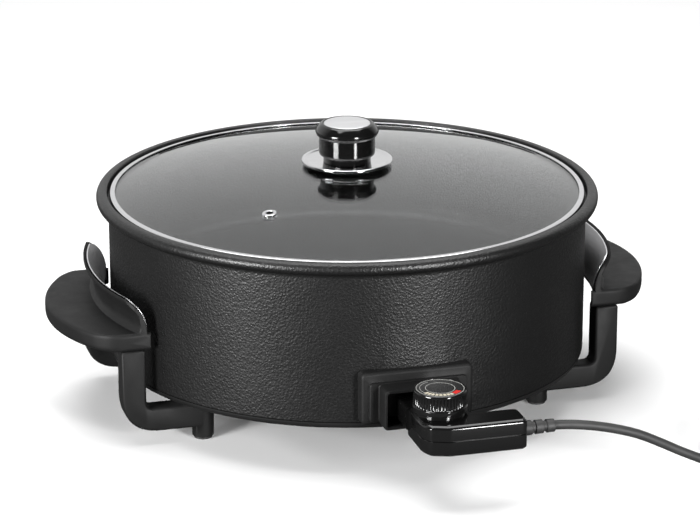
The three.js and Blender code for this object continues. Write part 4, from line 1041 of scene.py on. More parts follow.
# ---- pan ---------------------------------------------------------------------------------------
@dataclass
class Pan:
    """The deep round pan and the cover under its element."""

    radius: float = 200.0
    inside: float = 196.5
    skirt_edge: float = 46.0
    floor_under: float = 88.0
    floor_top: float = 93.0
    rim_top: float = 181.0
    rim_radius: float = 210.0
    rim_height: float = 10.5
    ledge: float = 173.0
    ledge_radius: float = 200.8
    clearance: float = 40.0
    foot_x: float = 144.6
    foot_y: float = 77.0
    foot_radius: float = 9.0
    segments: int = 224

    def build(self) -> None:
        """Make the shell and the cover."""
        self._shell()
        self._cover()

    def _shell(self) -> None:
        """Skirt, rolled rim, lid ledge and cooking well in one pressing."""
        low = self.rim_top - self.rim_height
        half = self.rim_height / 2
        roll = [(self.rim_radius - half + half * math.cos(a), self.rim_top - half + half * math.sin(a), 0.0)
                for a in (math.pi * (-0.42 + 0.92 * k / 14) for k in range(15))]
        outline = ease([
            (0, self.floor_under, 0), (self.inside, self.floor_under, 0), (self.inside, self.skirt_edge, 0.4),
            (self.radius, self.skirt_edge, 0.8), (self.radius, low - 3, 1.5), (self.radius + 1.4, low, 0.4),
            *roll,
            (self.ledge_radius + 0.3, self.rim_top, 1.4), (self.ledge_radius, self.ledge, 0.5),
            (self.inside, self.ledge, 1.2), (self.inside, self.floor_top, 14), (0, self.floor_top, 0)], 6,
            False)
        split = low - 4.0

        def slots(a: Flat, b: Flat) -> int:
            """Hammertone on the skirt, the plain coat on the rim and inside."""
            outer = min(a[0], b[0]) > self.inside + 1.5 and max(a[1], b[1]) < split
            return 0 if outer or a[1] < self.floor_top and b[1] < self.floor_top else 1

        shell = Shape().revolve(outline, self.segments, slots=slots).blank("pan")
        bosses, tools = [], []
        for sx in (-1, 1):
            for sy in (-1, 1):
                x, y = sx * self.foot_x, sy * self.foot_y
                bosses.append(rod("z", self.foot_radius, 41.8, self.floor_under + 1, x, y, 40).blank("boss"))
                tools.append(rod("z", 2.3, 40, self.floor_under - 20, x, y).blank("bore"))
        window = Shape().loft([[(x, y, z) for x, z in box_outline(24.6, 52.65, 74.85, 0.4, 1)]
                               for y in (-202, -192)])
        combine(combine(shell, bosses, "UNION"), [*tools, window.blank("window")], "DIFFERENCE")
        dress(shell, Finish.HAMMERTONE, Body.BASE, "pan_shell", more=(Finish.NON_STICK,))

    def _cover(self) -> None:
        """A shallow dish whose rounded edge shows under the skirt."""
        r = 5.7
        outer = [(self.radius - r + r * math.sin(a), self.clearance + r - r * math.cos(a))
                 for a in (math.pi / 2 * k / 10 for k in range(11))]
        inner = [(self.radius - r + (r - 1.5) * math.sin(a), self.clearance + r - (r - 1.5) * math.cos(a))
                 for a in (math.pi / 2 * (1 - k / 6) for k in range(7))]
        outline = [(0, self.clearance), *outer, *inner, (0, self.clearance + 1.5)]
        cover = Shape().revolve(outline, self.segments).blank("under_cover")
        tools = [rod("z", 2.3, 39, 43, sx * self.foot_x, sy * self.foot_y).blank("bore") for sx in (-1, 1)
                 for sy in (-1, 1)]
        dress(combine(cover, tools, "DIFFERENCE"), Finish.BASE_PAINT, Body.BASE, "base_cover")


# ---- lid ---------------------------------------------------------------------------------------
@dataclass
class Lid:
    """Domed glass, its steel ring, the steam vent and the knob."""

    ring_radius: float = 198.8
    ring_band: float = 4.5
    ring_bottom: float = 173.3
    ring_top: float = 179.9
    glass_radius: float = 197.5
    glass_bottom: float = 174.6
    glass_edge: float = 178.6
    dome_radius: float = 194.0
    dome_rise: float = 22.0
    vent: Flat = (-90.0, -90.0)
    plate_bottom: float = 200.9
    plate_radius: float = 38.0
    knob_bottom: float = 202.8
    knob_top: float = 235.8
    segments: int = 224

    def build(self) -> None:
        """Make every piece of the lid."""
        self._glass()
        self._ring()
        self._grommet()
        self._plate()
        self._knob()

    def dome(self, radius: float) -> float:
        """Height of the dome above its edge at a radius."""
        sphere = (self.dome_radius**2 + self.dome_rise**2) / (2 * self.dome_rise)
        return math.sqrt(sphere**2 - min(radius, self.dome_radius) ** 2) - (sphere - self.dome_rise)

    def _at_vent(self) -> Matrix:
        """Square to the glass at the vent."""
        sphere = (self.dome_radius**2 + self.dome_rise**2) / (2 * self.dome_rise)
        reach = math.hypot(*self.vent)
        place = Vector((*self.vent, self.glass_edge + self.dome(reach))) * MM
        return (Matrix.Translation(place) @ Matrix.Rotation(math.atan2(self.vent[1], self.vent[0]), 4, "Z")
                @ Matrix.Rotation(math.asin(reach / sphere), 4, "Y"))

    def _glass(self) -> None:
        """The pane, bored for the knob screw and the vent."""
        radii = [4 + (self.dome_radius - 4) * k / 30 for k in range(31)]
        upper = [(r, self.glass_edge + self.dome(r)) for r in radii]
        lower = [(r, self.glass_bottom + self.dome(r)) for r in reversed(radii)]
        edge = [(self.glass_radius - 0.4, self.glass_edge), (self.glass_radius, self.glass_edge - 0.5),
                (self.glass_radius, self.glass_bottom + 0.5), (self.glass_radius - 0.4, self.glass_bottom)]
        pane = Shape().revolve([*upper, *edge, *lower], self.segments).blank("lid_pane")
        tool = rod("z", 5, -9, 9, 0, 0, 48).turned(self._at_vent()).blank("bore")
        dress(combine(pane, [tool], "DIFFERENCE"), Finish.GLASS, Body.LID, "lid_glass")

    def _ring(self) -> None:
        """The folded steel rim of the glass."""
        r, inside = self.ring_radius, self.ring_radius - self.ring_band
        top, low = self.ring_top, self.ring_bottom
        outline = ease([(inside, low, 0.3), (r, low, 1.2), (r, top, 1.8), (inside, top, 0.35),
                        (inside, top - 1, 0.35),
                        (r - 1, top - 1, 0.5), (r - 1, low + 1, 0.5), (inside, low + 1, 0.3)], 6)
        dress(Shape().revolve(outline, self.segments).blank("lid_band"), Finish.BRIGHT_STEEL, Body.LID,
              "lid_ring")

    def _grommet(self) -> None:
        """The eyelet lining the steam vent."""
        outline = ease([(3, 1.35, 0.5), (5.6, 1.35, 0.6), (6.2, 0.3, 0.2), (4.6, 0.3, 0.1), (4.6, -4.6, 0.1),
                        (6.2, -4.6, 0.2), (5.6, -5.6, 0.5), (3, -5.6, 0.5)], 5)
        shape = Shape().revolve(outline, 64).turned(self._at_vent())
        dress(shape.blank("vent_eyelet"), Finish.BRIGHT_STEEL, Body.LID, "vent_grommet")

    def _plate(self) -> None:
        """The dished plate under the knob, its edge rolled over."""
        z, r = self.plate_bottom, self.plate_radius
        outline = ease([(2.8, z, 0), (22, z, 2), (r - 4, z + 1.1, 1), (r - 1.6, z + 0.9, 0.8),
                        (r, z + 1.6, 0.9),
                        (r, z + 3.9, 1.0), (r - 2.4, z + 4.2, 1.0), (r - 4, z + 2.7, 1.0), (22, z + 1.6, 2),
                        (2.8, z + 1.6, 0)], 6)
        dress(Shape().revolve(outline, 128).blank("knob_dish"), Finish.BRIGHT_STEEL, Body.LID, "knob_plate")

    def _knob(self) -> None:
        """A waisted stem under a broad cap with a steel inlay."""
        z, top = self.knob_bottom, self.knob_top
        middle = top - 7
        stem = middle - 4
        recess = top - 2.3
        outline = ease([
            (2.8, z, 0), (20, z, 0.6), (20, z + 5, 0.8), (22.8, z + 6, 0.5), (23.6, z + 7.4, 0.7),
            (23.6, stem, 0.8),
            (25.4, stem + 1, 0.7), (26.8, middle, 1.6), (25, middle + 3.4, 1.5), (22.4, top - 0.6, 0.9),
            (20.8, top, 0.5),
            (19.9, top, 0.25), (19.9, recess, 0.2), (0, recess, 0)], 6, False)
        outline += [(0, z + 17), (2.8, z + 17)]
        dress(Shape().revolve(outline, 128).blank("knob"), Finish.GLOSS_BLACK, Body.LID, "knob_body")
        inlay = ease([(0, top - 2, 0), (19.6, top - 2, 0.2), (19.6, top - 0.4, 0.4), (18.4, top + 0.1, 0.5),
                      (9.8, top + 0.5, 3), (0, top + 0.6, 0)], 5, False)
        dress(Shape().revolve(inlay, 128).blank("knob_inlay"), Finish.SATIN_STEEL, Body.LID, "knob_insert")
        under = self.glass_bottom + self.dome_rise - 0.3
        washer = ease([(2.8, under - 1.5, 0.2), (10, under - 1.5, 0.5), (10, under, 0.3),
                       (2.8, under, 0.2)], 3)
        dress(Shape().revolve(washer, 64).blank("knob_seat_washer"), Finish.SATIN_STEEL, Body.LID,
              "knob_washer")


# ---- handles and legs --------------------------------------------------------------------------
@dataclass
class HandleFrame:
    """One side's moulded grip with its heat shield and two legs; made on the right, then mirrored."""

    shelf_radius: float = 209.0
    shelf_reach: float = 257.0
    shelf_half: float = 87.0
    shelf_bottom: float = 83.5
    shelf_top: float = 98.0
    end_width: float = 34.0
    guard_height: float = 28.0
    guard_flare: float = 11.0
    guard_curve: float = 1.9
    guard_thickness: float = 4.0
    guard_corner: float = 13.0
    plan_corner: float = 14.0
    end_round: float = 3.0
    lip: float = 2.5
    leg_face: float = 193.0
    leg_thickness: float = 20.0
    leg_width: float = 18.0
    leg_y: float = 77.0
    arm_bottom: float = 12.0
    arm_height: float = 20.0
    leg_bend: float = 32.0
    foot_x: float = 144.6
    clearance: float = 40.0
    stations: int = 44

    def build(self) -> None:
        """Make the grip, the shield, the legs and the pads of both sides."""
        grip, shield, leg = self._grip(), self._shield(), self._leg()
        for side in Side:
            label = side.name.lower()
            dress(twin(grip, f"grip_handle_{label}", side.value, 1), Finish.SATIN_BLACK, Body.BASE,
                  f"grip_{label}")
            dress(twin(shield, f"grip_shield_{label}", side.value, 1), Finish.SATIN_STEEL, Body.BASE,
                  f"heat_shield_{label}")
            for end in End:
                place = f"{end.name.lower()}_{label}"
                dress(twin(leg, f"stand_leg_{place}", side.value, end.value), Finish.SATIN_BLACK, Body.BASE,
                      f"leg_{place}")
                self._pad(place, side, end)
        for used in (grip, shield, leg):
            bpy.data.objects.remove(used)

    def _guard_radius(self, z: float) -> float:
        """Radius of the guard's inner face at a height."""
        share = max(0.0, (z - self.shelf_top) / self.guard_height)
        return self.shelf_radius + self.guard_flare * share**self.guard_curve

    def _guard_top(self, y: float, half: float) -> float:
        """Height of the guard's edge along its length, with rounded corners."""
        full = self.shelf_top + self.guard_height
        over = abs(y) - (half - self.guard_corner)
        if over <= 0:
            return full
        if over >= self.guard_corner:
            return full - self.guard_corner
        return full - self.guard_corner + math.sqrt(self.guard_corner**2 - over**2)

    def _outer(self, y: float) -> float:
        """The shelf's outer edge along its length."""
        tip = math.sqrt(self.shelf_radius**2 - self.shelf_half**2) + self.end_width
        rise = self.shelf_reach - tip
        radius = (self.shelf_half**2 + rise**2) / (2 * rise)
        over = max(0.0, abs(y) - (self.shelf_half - self.plan_corner))
        trim = self.plan_corner - math.sqrt(max(0.0, self.plan_corner**2 - over**2))
        return self.shelf_reach - radius + math.sqrt(radius**2 - y**2) - trim * 0.75

    def _places(self, half: float, round_from: float) -> list[float]:
        """Stations along the grip, closer together at its rounded ends."""
        inner = [round_from * math.sin(math.pi / 2 * k / self.stations) for k in range(self.stations + 1)]
        tip = [round_from + (half - round_from) * math.sin(math.pi / 2 * k / 7) for k in range(1, 8)]
        right = inner + tip
        return [-y for y in reversed(right[1:])] + right

    def _section(self, y: float) -> list[Solid]:
        """Outline of the shelf and guard at a station."""
        into = max(0.0, abs(y) - (self.shelf_half - self.end_round))
        inset = self.end_round - math.sqrt(max(0.0, self.end_round**2 - into**2))
        low, high = self.shelf_bottom + inset, self.shelf_top - inset
        reach = self.lip * smooth_step(82.9, 83.5, abs(y))
        inner = math.sqrt((self.shelf_radius - reach) ** 2 - y**2) + inset
        outer = self._outer(y) - inset
        guard_half = self.shelf_half - 1
        top = self._guard_top(y, guard_half)
        fade = smooth_step(guard_half - 0.5, guard_half + 0.6, abs(y))
        top = high + (top - high) * (1 - fade)
        thick = max(0.3, self.guard_thickness - 2 * inset)
        face: list[Flat] = []
        back: list[Flat] = []
        for k in range(11):
            z = high + (top - high) * k / 10
            swell = min(1.0, (top - z) / 2.0) if top > z else 0.0
            trim = thick / 2 * (1 - math.sqrt(max(0.0, 1 - (1 - swell) ** 2)))
            foot = 4.5 * max(0.0, 1 - (z - high) / 6.0) ** 2 if top - high > 1 else 0.0
            radius = self._guard_radius(z)
            face.append((math.sqrt((radius + inset + trim) ** 2 - y**2), z))
            back.append((math.sqrt((radius + inset + thick - trim) ** 2 - y**2) + foot, z))
        face[0] = (math.sqrt((self.shelf_radius + inset) ** 2 - y**2), high)
        body = ease([(inner + 0.01, low + 1.2, 0), (inner, low, 1.2), (outer, low, 5.0), (outer, high, 3.6),
                     (back[0][0], high, 0)], 6, False)
        loop = [*body[:-1], *back, *reversed(face[1:]), face[0], (inner, high - 0.4)]
        return [(x, y, z) for x, z in loop]

    def _grip(self) -> bpy.types.Object:
        """Shelf and leaning guard in one moulding, with mortises for the legs."""
        places = self._places(self.shelf_half, self.shelf_half - 6)
        grip = Shape().loft([self._section(y) for y in places]).blank("grip_form")
        tools = []
        for side in (-1, 1):
            y = side * self.leg_y
            box = ease([(200.6, y - 6.4, 0.6), (207.4, y - 6.4, 0.6), (207.4, y + 6.4, 0.6),
                        (200.6, y + 6.4, 0.6)], 2)
            tools.append(Shape().loft([[(a, b, z) for a, b in box] for z in (82.5, 93.3)]).blank("mortise"))
            tools.append(rod("x", 3.3, 185, 197.9, y, 88.5).blank("bore"))
            tools.append(rod("x", 1.8, 195, 213, y, 88.5).blank("bore"))
        tools.append(rod("x", 1.8, 206, 221, 0, 92.75).blank("bore"))
        return combine(grip, tools, "DIFFERENCE")

    def _shield(self) -> bpy.types.Object:
        """Bright sheet on the guard's inner face."""
        half = 82.4
        rings = []
        for y in self._places(half, half - 2):
            top = self._guard_top(y, half) - 0.7
            heights = [88.0 + (top - 88.0) * k / 12 for k in range(13)]
            front = [(math.sqrt((self._guard_radius(z) - 1.3) ** 2 - y**2), y, z) for z in heights]
            back = [(math.sqrt((self._guard_radius(z) - 0.35) ** 2 - y**2), y, z) for z in reversed(heights)]
            rings.append(front + back)
        sheet = Shape().loft(rings).blank("shield_form")
        tools = [rod("x", 4, 150, 214, side * self.leg_y, 88.5).blank("bore") for side in (-1, 1)]
        tools.append(rod("x", 1.8, 200, 216, 0, 92.75).blank("bore"))
        return combine(sheet, tools, "DIFFERENCE")

    def _leg(self) -> bpy.types.Object:
        """Upright, elbow, arm under the pan and the round foot column."""
        top, outer = self.shelf_bottom - 0.3, self.leg_face + self.leg_thickness
        arm = self.arm_bottom + self.arm_height
        bend = self.leg_bend - self.leg_thickness - 6
        side = ease([(self.foot_x, self.arm_bottom, 0), (outer, self.arm_bottom, self.leg_bend),
                     (outer, top, 0),
                     (self.leg_face, top, 0), (self.leg_face, arm, bend), (self.foot_x, arm, 0)], 14)
        half = self.leg_width / 2
        strip = Shape().loft([[(x, y, z) for x, z in side] for y in (self.leg_y - half, self.leg_y + half)])
        leg = baked(soften(strip.blank("leg_form"), 2.4, 5, 50))
        column = Shape().revolve(ease([(0, 2, 0), (9, 2, 1.2), (9, 39.7, 0.8), (0, 39.7, 0)], 5, False), 64,
                                 (self.foot_x, self.leg_y)).blank("column")
        y = self.leg_y
        box = ease([(201, y - 6, 0.6), (207, y - 6, 0.6), (207, y + 6, 0.6), (201, y + 6, 0.6)], 2)
        tenon = Shape().loft([[(a, b, z) for a, b in box] for z in (top - 3, 92.7)]).blank("tenon")
        tools = [rod("z", 5.7, 0, 10.8, self.foot_x, y, 48).blank("recess"),
                 rod("z", 2.3, 0, 41, self.foot_x, y).blank("bore"),
                 rod("x", 1.8, 189, 215, y, 88.5).blank("bore")]
        return combine(combine(leg, [column, tenon], "UNION"), tools, "DIFFERENCE")

    def _pad(self, place: str, side: Side, end: End) -> None:
        """A rubber pad pressed into the foot column."""
        outline = ease([(0, 0, 0), (7.6, 0, 0.8), (7.6, 1.7, 0.4), (5.4, 1.7, 0.2), (5.4, 8, 0.6),
                        (0, 8, 0)], 4, False)
        shape = Shape().revolve(outline, 48, (side.value * self.foot_x, end.value * self.leg_y))
        dress(shape.blank(f"rubber_pad_{place}"), Finish.RUBBER, Body.BASE, f"foot_pad_{place}")


# ---- fixings -----------------------------------------------------------------------------------
@dataclass
class Fixings:
    """Cross-recess screws set where the frame has its plain ones."""

    head_height: float = 2.2

    def build(self) -> None:
        """Make every screw."""
        for side in ("left", "right"):
            sign = 1 if side == "right" else -1
            self._screw(f"socket_screw_{side}", "y", 1, Body.BASE)
            self._screw(f"shield_screw_{side}", "x", -sign, Body.BASE)
            for end in ("front", "rear"):
                self._screw(f"leg_screw_{end}_{side}", "x", -sign, Body.BASE)
                self._screw(f"foot_screw_{end}_{side}", "z", -1, Body.BASE)
        self._screw("knob_screw", "z", -1, Body.LID)
        self._screw("shell_screw", "z", -1, Body.CONTROL)

    def _screw(self, node: str, axis: str, head_side: int, body: Body) -> None:
        """Make one screw over a node of the frame.

        Args:
            node: The node it replaces.
            axis: The axis it lies along.
            head_side: Sign of the direction in which its head faces.
            body: The body it rides on.
        """
        low, high = Vector(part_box(node)[0]), Vector(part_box(node)[1])
        index = "xyz".index(axis)
        head = (high - low)[(index + 1) % 3] / 2 / MM
        shank = {4.4: 2.0, 3.0: 1.5}.get(round(head, 1), 2.2)
        length = (high - low)[index] / MM
        top = self.head_height
        outline = ease([(0, -top, 0), (head, -top, 0.9), (head, 0, 0.2), (shank, 0, 0.2)], 4, False)
        pitch = 1.0
        turns = int((length - top - 2) / pitch)
        for k in range(turns):
            outline += [(shank - 0.3, 0.6 + k * pitch), (shank, 0.6 + (k + 0.5) * pitch)]
        outline += [(shank - 0.5, length - top - 0.4), (0, length - top)]
        screw = Shape().revolve(outline, 24)
        centre = (low + high) / 2
        centre[index] = (high if head_side > 0 else low)[index] - head_side * top * MM
        aim = Vector((0, 0, 0))
        aim[index] = -head_side
        turn = Vector((0, 0, 1)).rotation_difference(aim).to_matrix().to_4x4()
        place = Matrix.Translation(centre - AXIS.at(0, 0, 0)) @ turn
        cross = [Shape().loft([[(x, y, z) for x, y in outline4]
                               for z in (-top - 0.5, -top + 1.1)]).turned(place).blank("cross")
                 for outline4 in ([(-head * 0.55, -0.45), (head * 0.55, -0.45), (head * 0.55, 0.45),
                                   (-head * 0.55, 0.45)],
                                  [(-0.45, -head * 0.55), (0.45, -head * 0.55), (0.45, head * 0.55),
                                   (-0.45, head * 0.55)])]
        obj = combine(screw.turned(place).blank(f"fixing_{node}"), cross, "DIFFERENCE")
        dress(obj, Finish.SATIN_STEEL, body, node)


# ---- socket ------------------------------------------------------------------------------------
@dataclass
class Socket:
    """The moulded socket on the skirt, with the pins standing in it."""

    skirt: float = 200.3
    half: float = 46.0
    bottom: float = 47.0
    top: float = 91.0
    front: float = -206.0
    shroud_half: float = 32.5
    shroud_bottom: float = 49.0
    shroud_top: float = 82.0
    shroud_front: float = -225.0
    wall: float = 2.5
    pin_z: float = 63.75
    pin_x: float = 13.0
    pin_radius: float = 2.5
    pin_front: float = -222.0
    pin_length: float = 37.0

    def build(self) -> None:
        """Make the housing and the terminal pins."""
        self._housing()
        for side in Side:
            label = side.name.lower()
            r, end = self.pin_radius, self.pin_length
            outline = ease([(0, 0, 0), (r, 0, 1.3), (r, end, 0.2), (0, end, 0)], 6, False)
            place = Matrix.Translation((side.value * self.pin_x * MM, self.pin_front * MM, self.pin_z * MM))
            pin = Shape().revolve(outline, 32).turned(place @ Matrix.Rotation(-math.pi / 2, 4, "X"))
            dress(pin.blank(f"socket_pin_{label}"), Finish.NICKEL, Body.BASE, f"terminal_pin_{label}")

    def _ring(self, half: float, low: float, high: float, corner: float, y: float | None) -> list[Solid]:
        """One rounded rectangle; without a depth it lies on the skirt."""
        points = []
        for x, z in box_outline(half, low, high, corner, 6):
            points.append((x, -math.sqrt(self.skirt**2 - x**2) if y is None else y, z))
        return points

    def _housing(self) -> None:
        """Flange, step, shroud and cavity as one tube."""
        h, lo, hi, f, s = self.half, self.bottom, self.top, self.front, self.shroud_half
        slo, shi, sf = self.shroud_bottom, self.shroud_top, self.shroud_front
        rows = [(h, lo, hi, 5.0, None), (h, lo, hi, 5.0, f + 3.2)]
        for k in range(1, 6):
            a = math.pi / 2 * k / 5
            inset = 3.0 * (1 - math.cos(a))
            rows.append((h - inset, lo + inset, hi - inset, 5.0 - inset * 0.5, f + 3.0 * (1 - math.sin(a))))
        rows += [(h - 5.6, lo + 3.2, hi - 7.4, 3.4, f), (h - 6, lo + 3.4, hi - 8, 3.2, f - 0.4)]
        rows += [(h - 6, lo + 3.4, hi - 8, 3.2, f - 2.4), (h - 6.6, lo + 3.8, hi - 8.4, 3.0, f - 3)]
        rows += [(s + 0.6, slo + 1.6, shi + 0.3, 3, f - 3), (s, slo + 0.2, shi, 3, f - 3.6),
                 (s, slo, shi, 3, sf + 1.2)]
        rows += [(s - 0.2, slo + 0.2, shi - 0.2, 3, sf + 0.4), (s - 0.8, slo + 0.8, shi - 0.8, 2.6, sf)]
        rows += [(s - self.wall + 0.3, slo + self.wall - 0.3, shi - self.wall + 0.3, 2.2, sf)]
        rows += [(s - self.wall, slo + self.wall, shi - self.wall, 2, sf + 0.4),
                 (s - self.wall, slo + self.wall,
                 shi - self.wall, 2, f)]
        rows += [(24.4, 53, 74.5, 0.5, f), (24.4, 53, 74.5, 0.5, None), (31, 50.5, 80, 2, None),
                 (38, 49, 86, 4, None)]
        housing = Shape().loft([self._ring(*row) for row in rows], closed=True).blank("socket")
        tools = [rod("y", 1.8, self.front + 2, -186, side * 40, self.pin_z).blank("bore") for side in (-1, 1)]
        dress(combine(housing, tools, "DIFFERENCE"), Finish.SATIN_BLACK, Body.BASE, "socket_housing")


# ---- thermostat control ------------------------------------------------------------------------
@dataclass
class Control:
    """The plug-in thermostat: two half shells with a nose, a probe and inner parts."""

    left: float = -18.0
    right: float = 64.0
    front: float = -289.0
    tail_width: float = 27.0
    head_right: float = 27.0
    head_back: float = -233.0
    bottom: float = 48.0
    top: float = 73.0
    parting: float = 60.5
    wall: float = 2.2
    nose_half: float = 20.5
    nose_back: float = -214.0
    nose_bottom: float = 54.5
    pin_z: float = 63.75
    dial: Flat = (3.0, -255.0)
    bevel: float = 2.6

    def build(self) -> None:
        """Make both shells and the probe."""
        self._lower()
        self._upper()
        outline = ease([(0, 0, 0), (3, 0, 0.3), (3, 89, 1.5), (0, 89, 0)], 6, False)
        place = Matrix.Translation((0, (self.head_back - 12) * MM,
                                    self.pin_z * MM)) @ Matrix.Rotation(-math.pi / 2, 4, "X")
        dress(Shape().revolve(outline, 32).turned(place).blank("probe_rod"), Finish.BRIGHT_STEEL,
              Body.CONTROL,
              "temperature_probe")

    def _plan(self, inset: float, z: float) -> list[Solid]:
        """The control's plan outline, drawn in by an inset, at a height."""
        i = inset
        back = self.front + self.tail_width
        facets = [(self.left + i, self.front + 16 + i * 0.2),
                  (self.left + 2.2 + i * 0.9, self.front + 9.5 + i * 0.5),
                  (self.left + 5.2 + i * 0.6, self.front + 5.2 + i * 0.8),
                  (self.left + 18.8 + i * 0.3, self.front + i)]
        corners = [(x, y, 1.6) for x, y in facets]
        corners += [(self.right - i, self.front + i, max(4.5 - i, 0.8)),
                    (self.right - i, back - i, max(5.5 - i, 0.8)),
                    (self.head_right - i, back - i, 2.5),
                    (self.head_right - i, self.head_back - i, max(5 - i, 0.8)),
                    (self.left + i, self.head_back - i, max(8 - i, 0.8))]
        return [(x, y, z) for x, y in ease(corners, 5)]

    def _nose(self, low: float, high: float) -> bpy.types.Object:
        """Half of the nose that enters the socket."""
        rings = []
        for y, inset in ((-241, 0), (self.nose_back - 1.5, 0), (self.nose_back - 0.4, 0.4),
                         (self.nose_back, 1.2)):
            base = 0.3 if low > self.nose_bottom + 1 else 3.0
            lid = 0.3 if high < self.top - 1 else 3.0
            h = self.nose_half - inset
            lo, hi = low + (inset if base > 1 else 0), high - (inset if lid > 1 else 0)
            rings.append([(x, y, z) for x, z in ease([(-h, lo, base), (h, lo, base), (h, hi, lid),
                                                      (-h, hi, lid)], 5)])
        return Shape().loft(rings).blank("nose")

    def _bores(self) -> list[bpy.types.Object]:
        """Openings for the pins and the probe."""
        made = [rod("y", 3.1, -239, self.nose_back + 1, x, self.pin_z).blank("bore") for x in (-13, 13)]
        return [*made, rod("y", 3.3, -250, self.nose_back + 1, 0, self.pin_z).blank("bore")]

    def _edge(self, face: float, inward: int) -> list[list[Solid]]:
        """Rings of the bevelled outer edge, from the face to the wall.

        Args:
            face: Height of the face.
            inward: Sign of the direction from the face into the shell.

        Returns:
            The rings.
        """
        b = self.bevel
        steps = [(b + 0.5, 0.0), (b, 0.03), (b - 0.45, 0.18), (0.45, b - 0.9), (0.12, b - 0.45),
                 (0.0, b + 0.1)]
        return [self._plan(inset, face + inward * depth) for inset, depth in steps]

    def _lower(self) -> None:
        """The tray-shaped lower shell."""
        split = self.parting - 0.15
        rings = self._edge(self.bottom, 1)
        rings += [self._plan(0, split - 0.35), self._plan(0.35, split), self._plan(self.wall, split),
                  self._plan(self.wall, self.bottom + self.wall)]
        shell = Shape().loft(rings).blank("control_tray")
        combine(shell, [self._nose(self.nose_bottom, split)], "UNION")
        tools = [*self._bores(), rod("x", 4.3, self.right - 5, self.right + 1, -275.5,
                                     self.parting).blank("bore"),
                 rod("z", 3.3, 47, 51.4, 45.5, -275.5).blank("bore")]
        dress(combine(shell, tools, "DIFFERENCE"), Finish.GLOSS_BLACK, Body.CONTROL, "control_lower_shell")

    def _upper(self) -> None:
        """The upper shell with the collar under the dial."""
        split = self.parting + 0.15
        rings = self._edge(self.top, -1)
        rings += [self._plan(0, split + 0.35), self._plan(0.35, split), self._plan(self.wall, split),
                  self._plan(self.wall, self.top - self.wall)]
        shell = Shape().loft(rings).blank("control_cover")
        collar = Shape().revolve(ease([(0, 71.5, 0), (19.5, 71.5, 0.2), (19.5, 75.5, 0.6), (0, 75.5, 0)], 4,
                                      False), 96,
                                 self.dial).blank("collar")
        combine(shell, [self._nose(split, self.top), collar], "UNION")
        tools = [*self._bores(), rod("x", 4.3, self.right - 5, self.right + 1, -275.5,
                                     self.parting).blank("bore"),
                 rod("z", 4.3, 68, 77, *self.dial).blank("bore")]
        dress(combine(shell, tools, "DIFFERENCE"), Finish.GLOSS_BLACK, Body.CONTROL, "control_upper_shell")


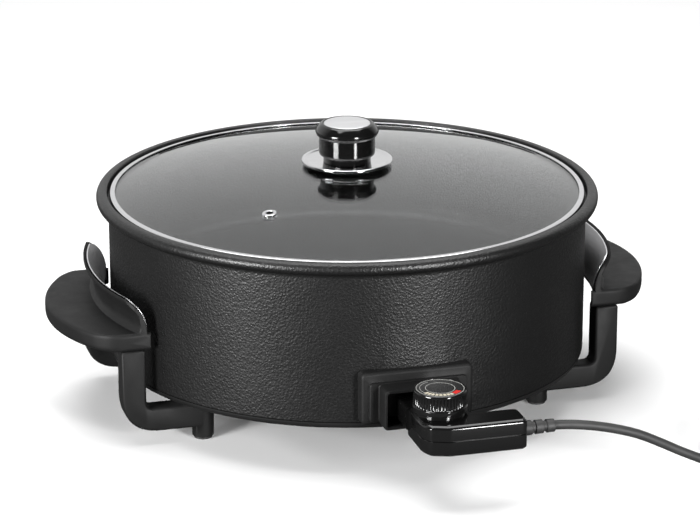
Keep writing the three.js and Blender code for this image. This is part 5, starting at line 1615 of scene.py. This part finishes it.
@dataclass
class Dial:
    """The temperature dial with its printed face."""

    centre: Flat = (3.0, -255.0)
    radius: float = 21.9
    top_radius: float = 21.1
    bottom: float = 75.8
    top: float = 92.8
    face_radius: float = 19.4
    flutes: int = 48
    flute_depth: float = 0.9
    skirt: float = 4.2
    ink: float = 0.05

    def build(self) -> None:
        """Make the knob, its face and the marks."""
        self._knob()
        z = self.top - 1.2
        edge = self.face_radius
        face = ease([(0, z + 0.3, 0), (edge, z + 0.3, 0.1), (edge, z + 1.1, 0.2), (0, z + 1.1, 0)], 3, False)
        dress(Shape().revolve(face, 128, self.centre).blank("dial_plate"), Finish.DIAL_BLACK, Body.DIAL,
              "dial_face")
        self._arc("dial_ring_outer", Finish.PALE_INK, 18.3, 18.8, 0, 360)
        self._arc("dial_ring_inner", Finish.PALE_INK, 11.2, 11.7, 0, 360)
        self._arc("dial_scale_edge", Finish.PALE_INK, 15.7, 16.1, 110, 205)
        for i in range(8):
            start = 205 + i * 11.4
            self._arc(f"dial_segment_{i + 1}", Finish.CREAM_INK, 13.2, 16.9, start, start + 8.6)
        self._arc("dial_segment_hot", Finish.RED_INK, 12.9, 17.2, 297, 324)

    def _knob(self) -> None:
        """A knob with a smooth skirt and fine flutes above it."""
        z, top, r, t = self.bottom, self.top, self.radius, self.top_radius
        flute_low, flute_high = z + self.skirt + 1.2, top - 2.0
        outline = ease([
            (0, z + 3, 0), (6, z + 3, 0.2), (6, z, 0.2), (r - 0.6, z, 0.4), (r - 0.1, z + 0.8, 0.3),
            (r - 0.1, z + self.skirt, 0.3), (r - 0.8, z + self.skirt + 0.6, 0.2), (r - 0.8, flute_low, 0.0),
            (t - 0.1, flute_high, 0.0), (t - 0.1, top - 0.9, 0.7), (t - 0.8, top, 0.4),
            (self.face_radius + 0.5, top, 0.2),
            (self.face_radius + 0.3, top - 1.2, 0.2), (0, top - 1.2, 0)], 4, False)
        low = next(i for i, p in enumerate(outline) if abs(p[1] - flute_low) < 1e-6)
        outline[low + 1:low + 1] = [(r - 0.8, flute_low + 0.5), (t - 0.1, flute_high - 0.5)]
        shape = Shape()
        rings = []
        for radius, height in outline:
            if radius <= 0:
                rings.append(shape.ring([(*self.centre, height)]))
                continue
            cut = self.flute_depth if flute_low + 0.1 < height < flute_high - 0.1 else 0.0
            ring = []
            for i in range(self.flutes * 6):
                q = radius - cut * (1 - abs(math.sin(math.pi * i / 6)))
                a = TAU * i / (self.flutes * 6)
                ring.append((self.centre[0] + q * math.cos(a), self.centre[1] + q * math.sin(a), height))
            rings.append(shape.ring(ring))
        for a, b in zip(rings, rings[1:]):
            shape.bridge(a, b)
        dress(shape.blank("dial_grip"), Finish.GLOSS_BLACK, Body.DIAL, "dial_knob")

    def _arc(self, name: str, finish: Finish, inner: float, outer: float, start: float, end: float) -> None:
        """Print one mark on the face.

        Args:
            name: The mark's name.
            finish: Its ink.
            inner: Its inner radius.
            outer: Its outer radius.
            start: Where it starts, in degrees from X.
            end: Where it ends.
        """
        z = self.top - 0.1
        steps = max(4, round((end - start) / 2.5))
        full = end - start >= 360
        rings = []
        for i in range(steps if full else steps + 1):
            a = math.radians(start + (end - start) * i / steps)
            corners = ((inner, z - 0.1), (outer, z - 0.1), (outer, z + self.ink), (inner, z + self.ink))
            rings.append([(self.centre[0] + q * math.cos(a), self.centre[1] + q * math.sin(a), h)
                          for q, h in corners])
        dress(Shape().loft(rings, closed=full).blank(name), finish, Body.DIAL)


# ---- pieces kept from the frame ----------------------------------------------------------------
KEPT = {
    "heating_element": Finish.NICKEL,
    "element_plate": Finish.CAST,
    "sensor_block": Finish.CAST,
    # painted shade: coloured dark for the shade inside the socket cavity
    "terminal_block": Finish.SHADED_CERAMIC,
    "thermostat_switch": Finish.CERAMIC,
    "contact_left": Finish.BRASS,
    "contact_right": Finish.BRASS,
    "dial_shaft": Finish.CAST,
}


def finish_kept() -> None:
    """Give the frame's own inner pieces their finishes."""
    for name, finish in KEPT.items():
        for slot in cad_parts[name].material_slots:
            slot.material = finish.material
        log.info("%s keeps its frame mesh", name)


def write_sizes(after: object) -> None:
    """Take the model's bounds after the finished pieces; only a line helper is defined, and nothing is
    written.
    """
    def lines(label: str, bounds: object) -> str:
        """One plain line for a pair of corners."""
        return f'  "{label}": {json.dumps([list(corner) for corner in bounds])}'


def main() -> None:
    """Build the scene."""
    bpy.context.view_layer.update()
    Studio().build()
    MainsLead().build()
    Pan().build()
    Lid().build()
    HandleFrame().build()
    Fixings().build()
    Socket().build()
    Control().build()
    Dial().build()
    finish_kept()
    write_sizes(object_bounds())


if __name__ == "__main__":
    main()
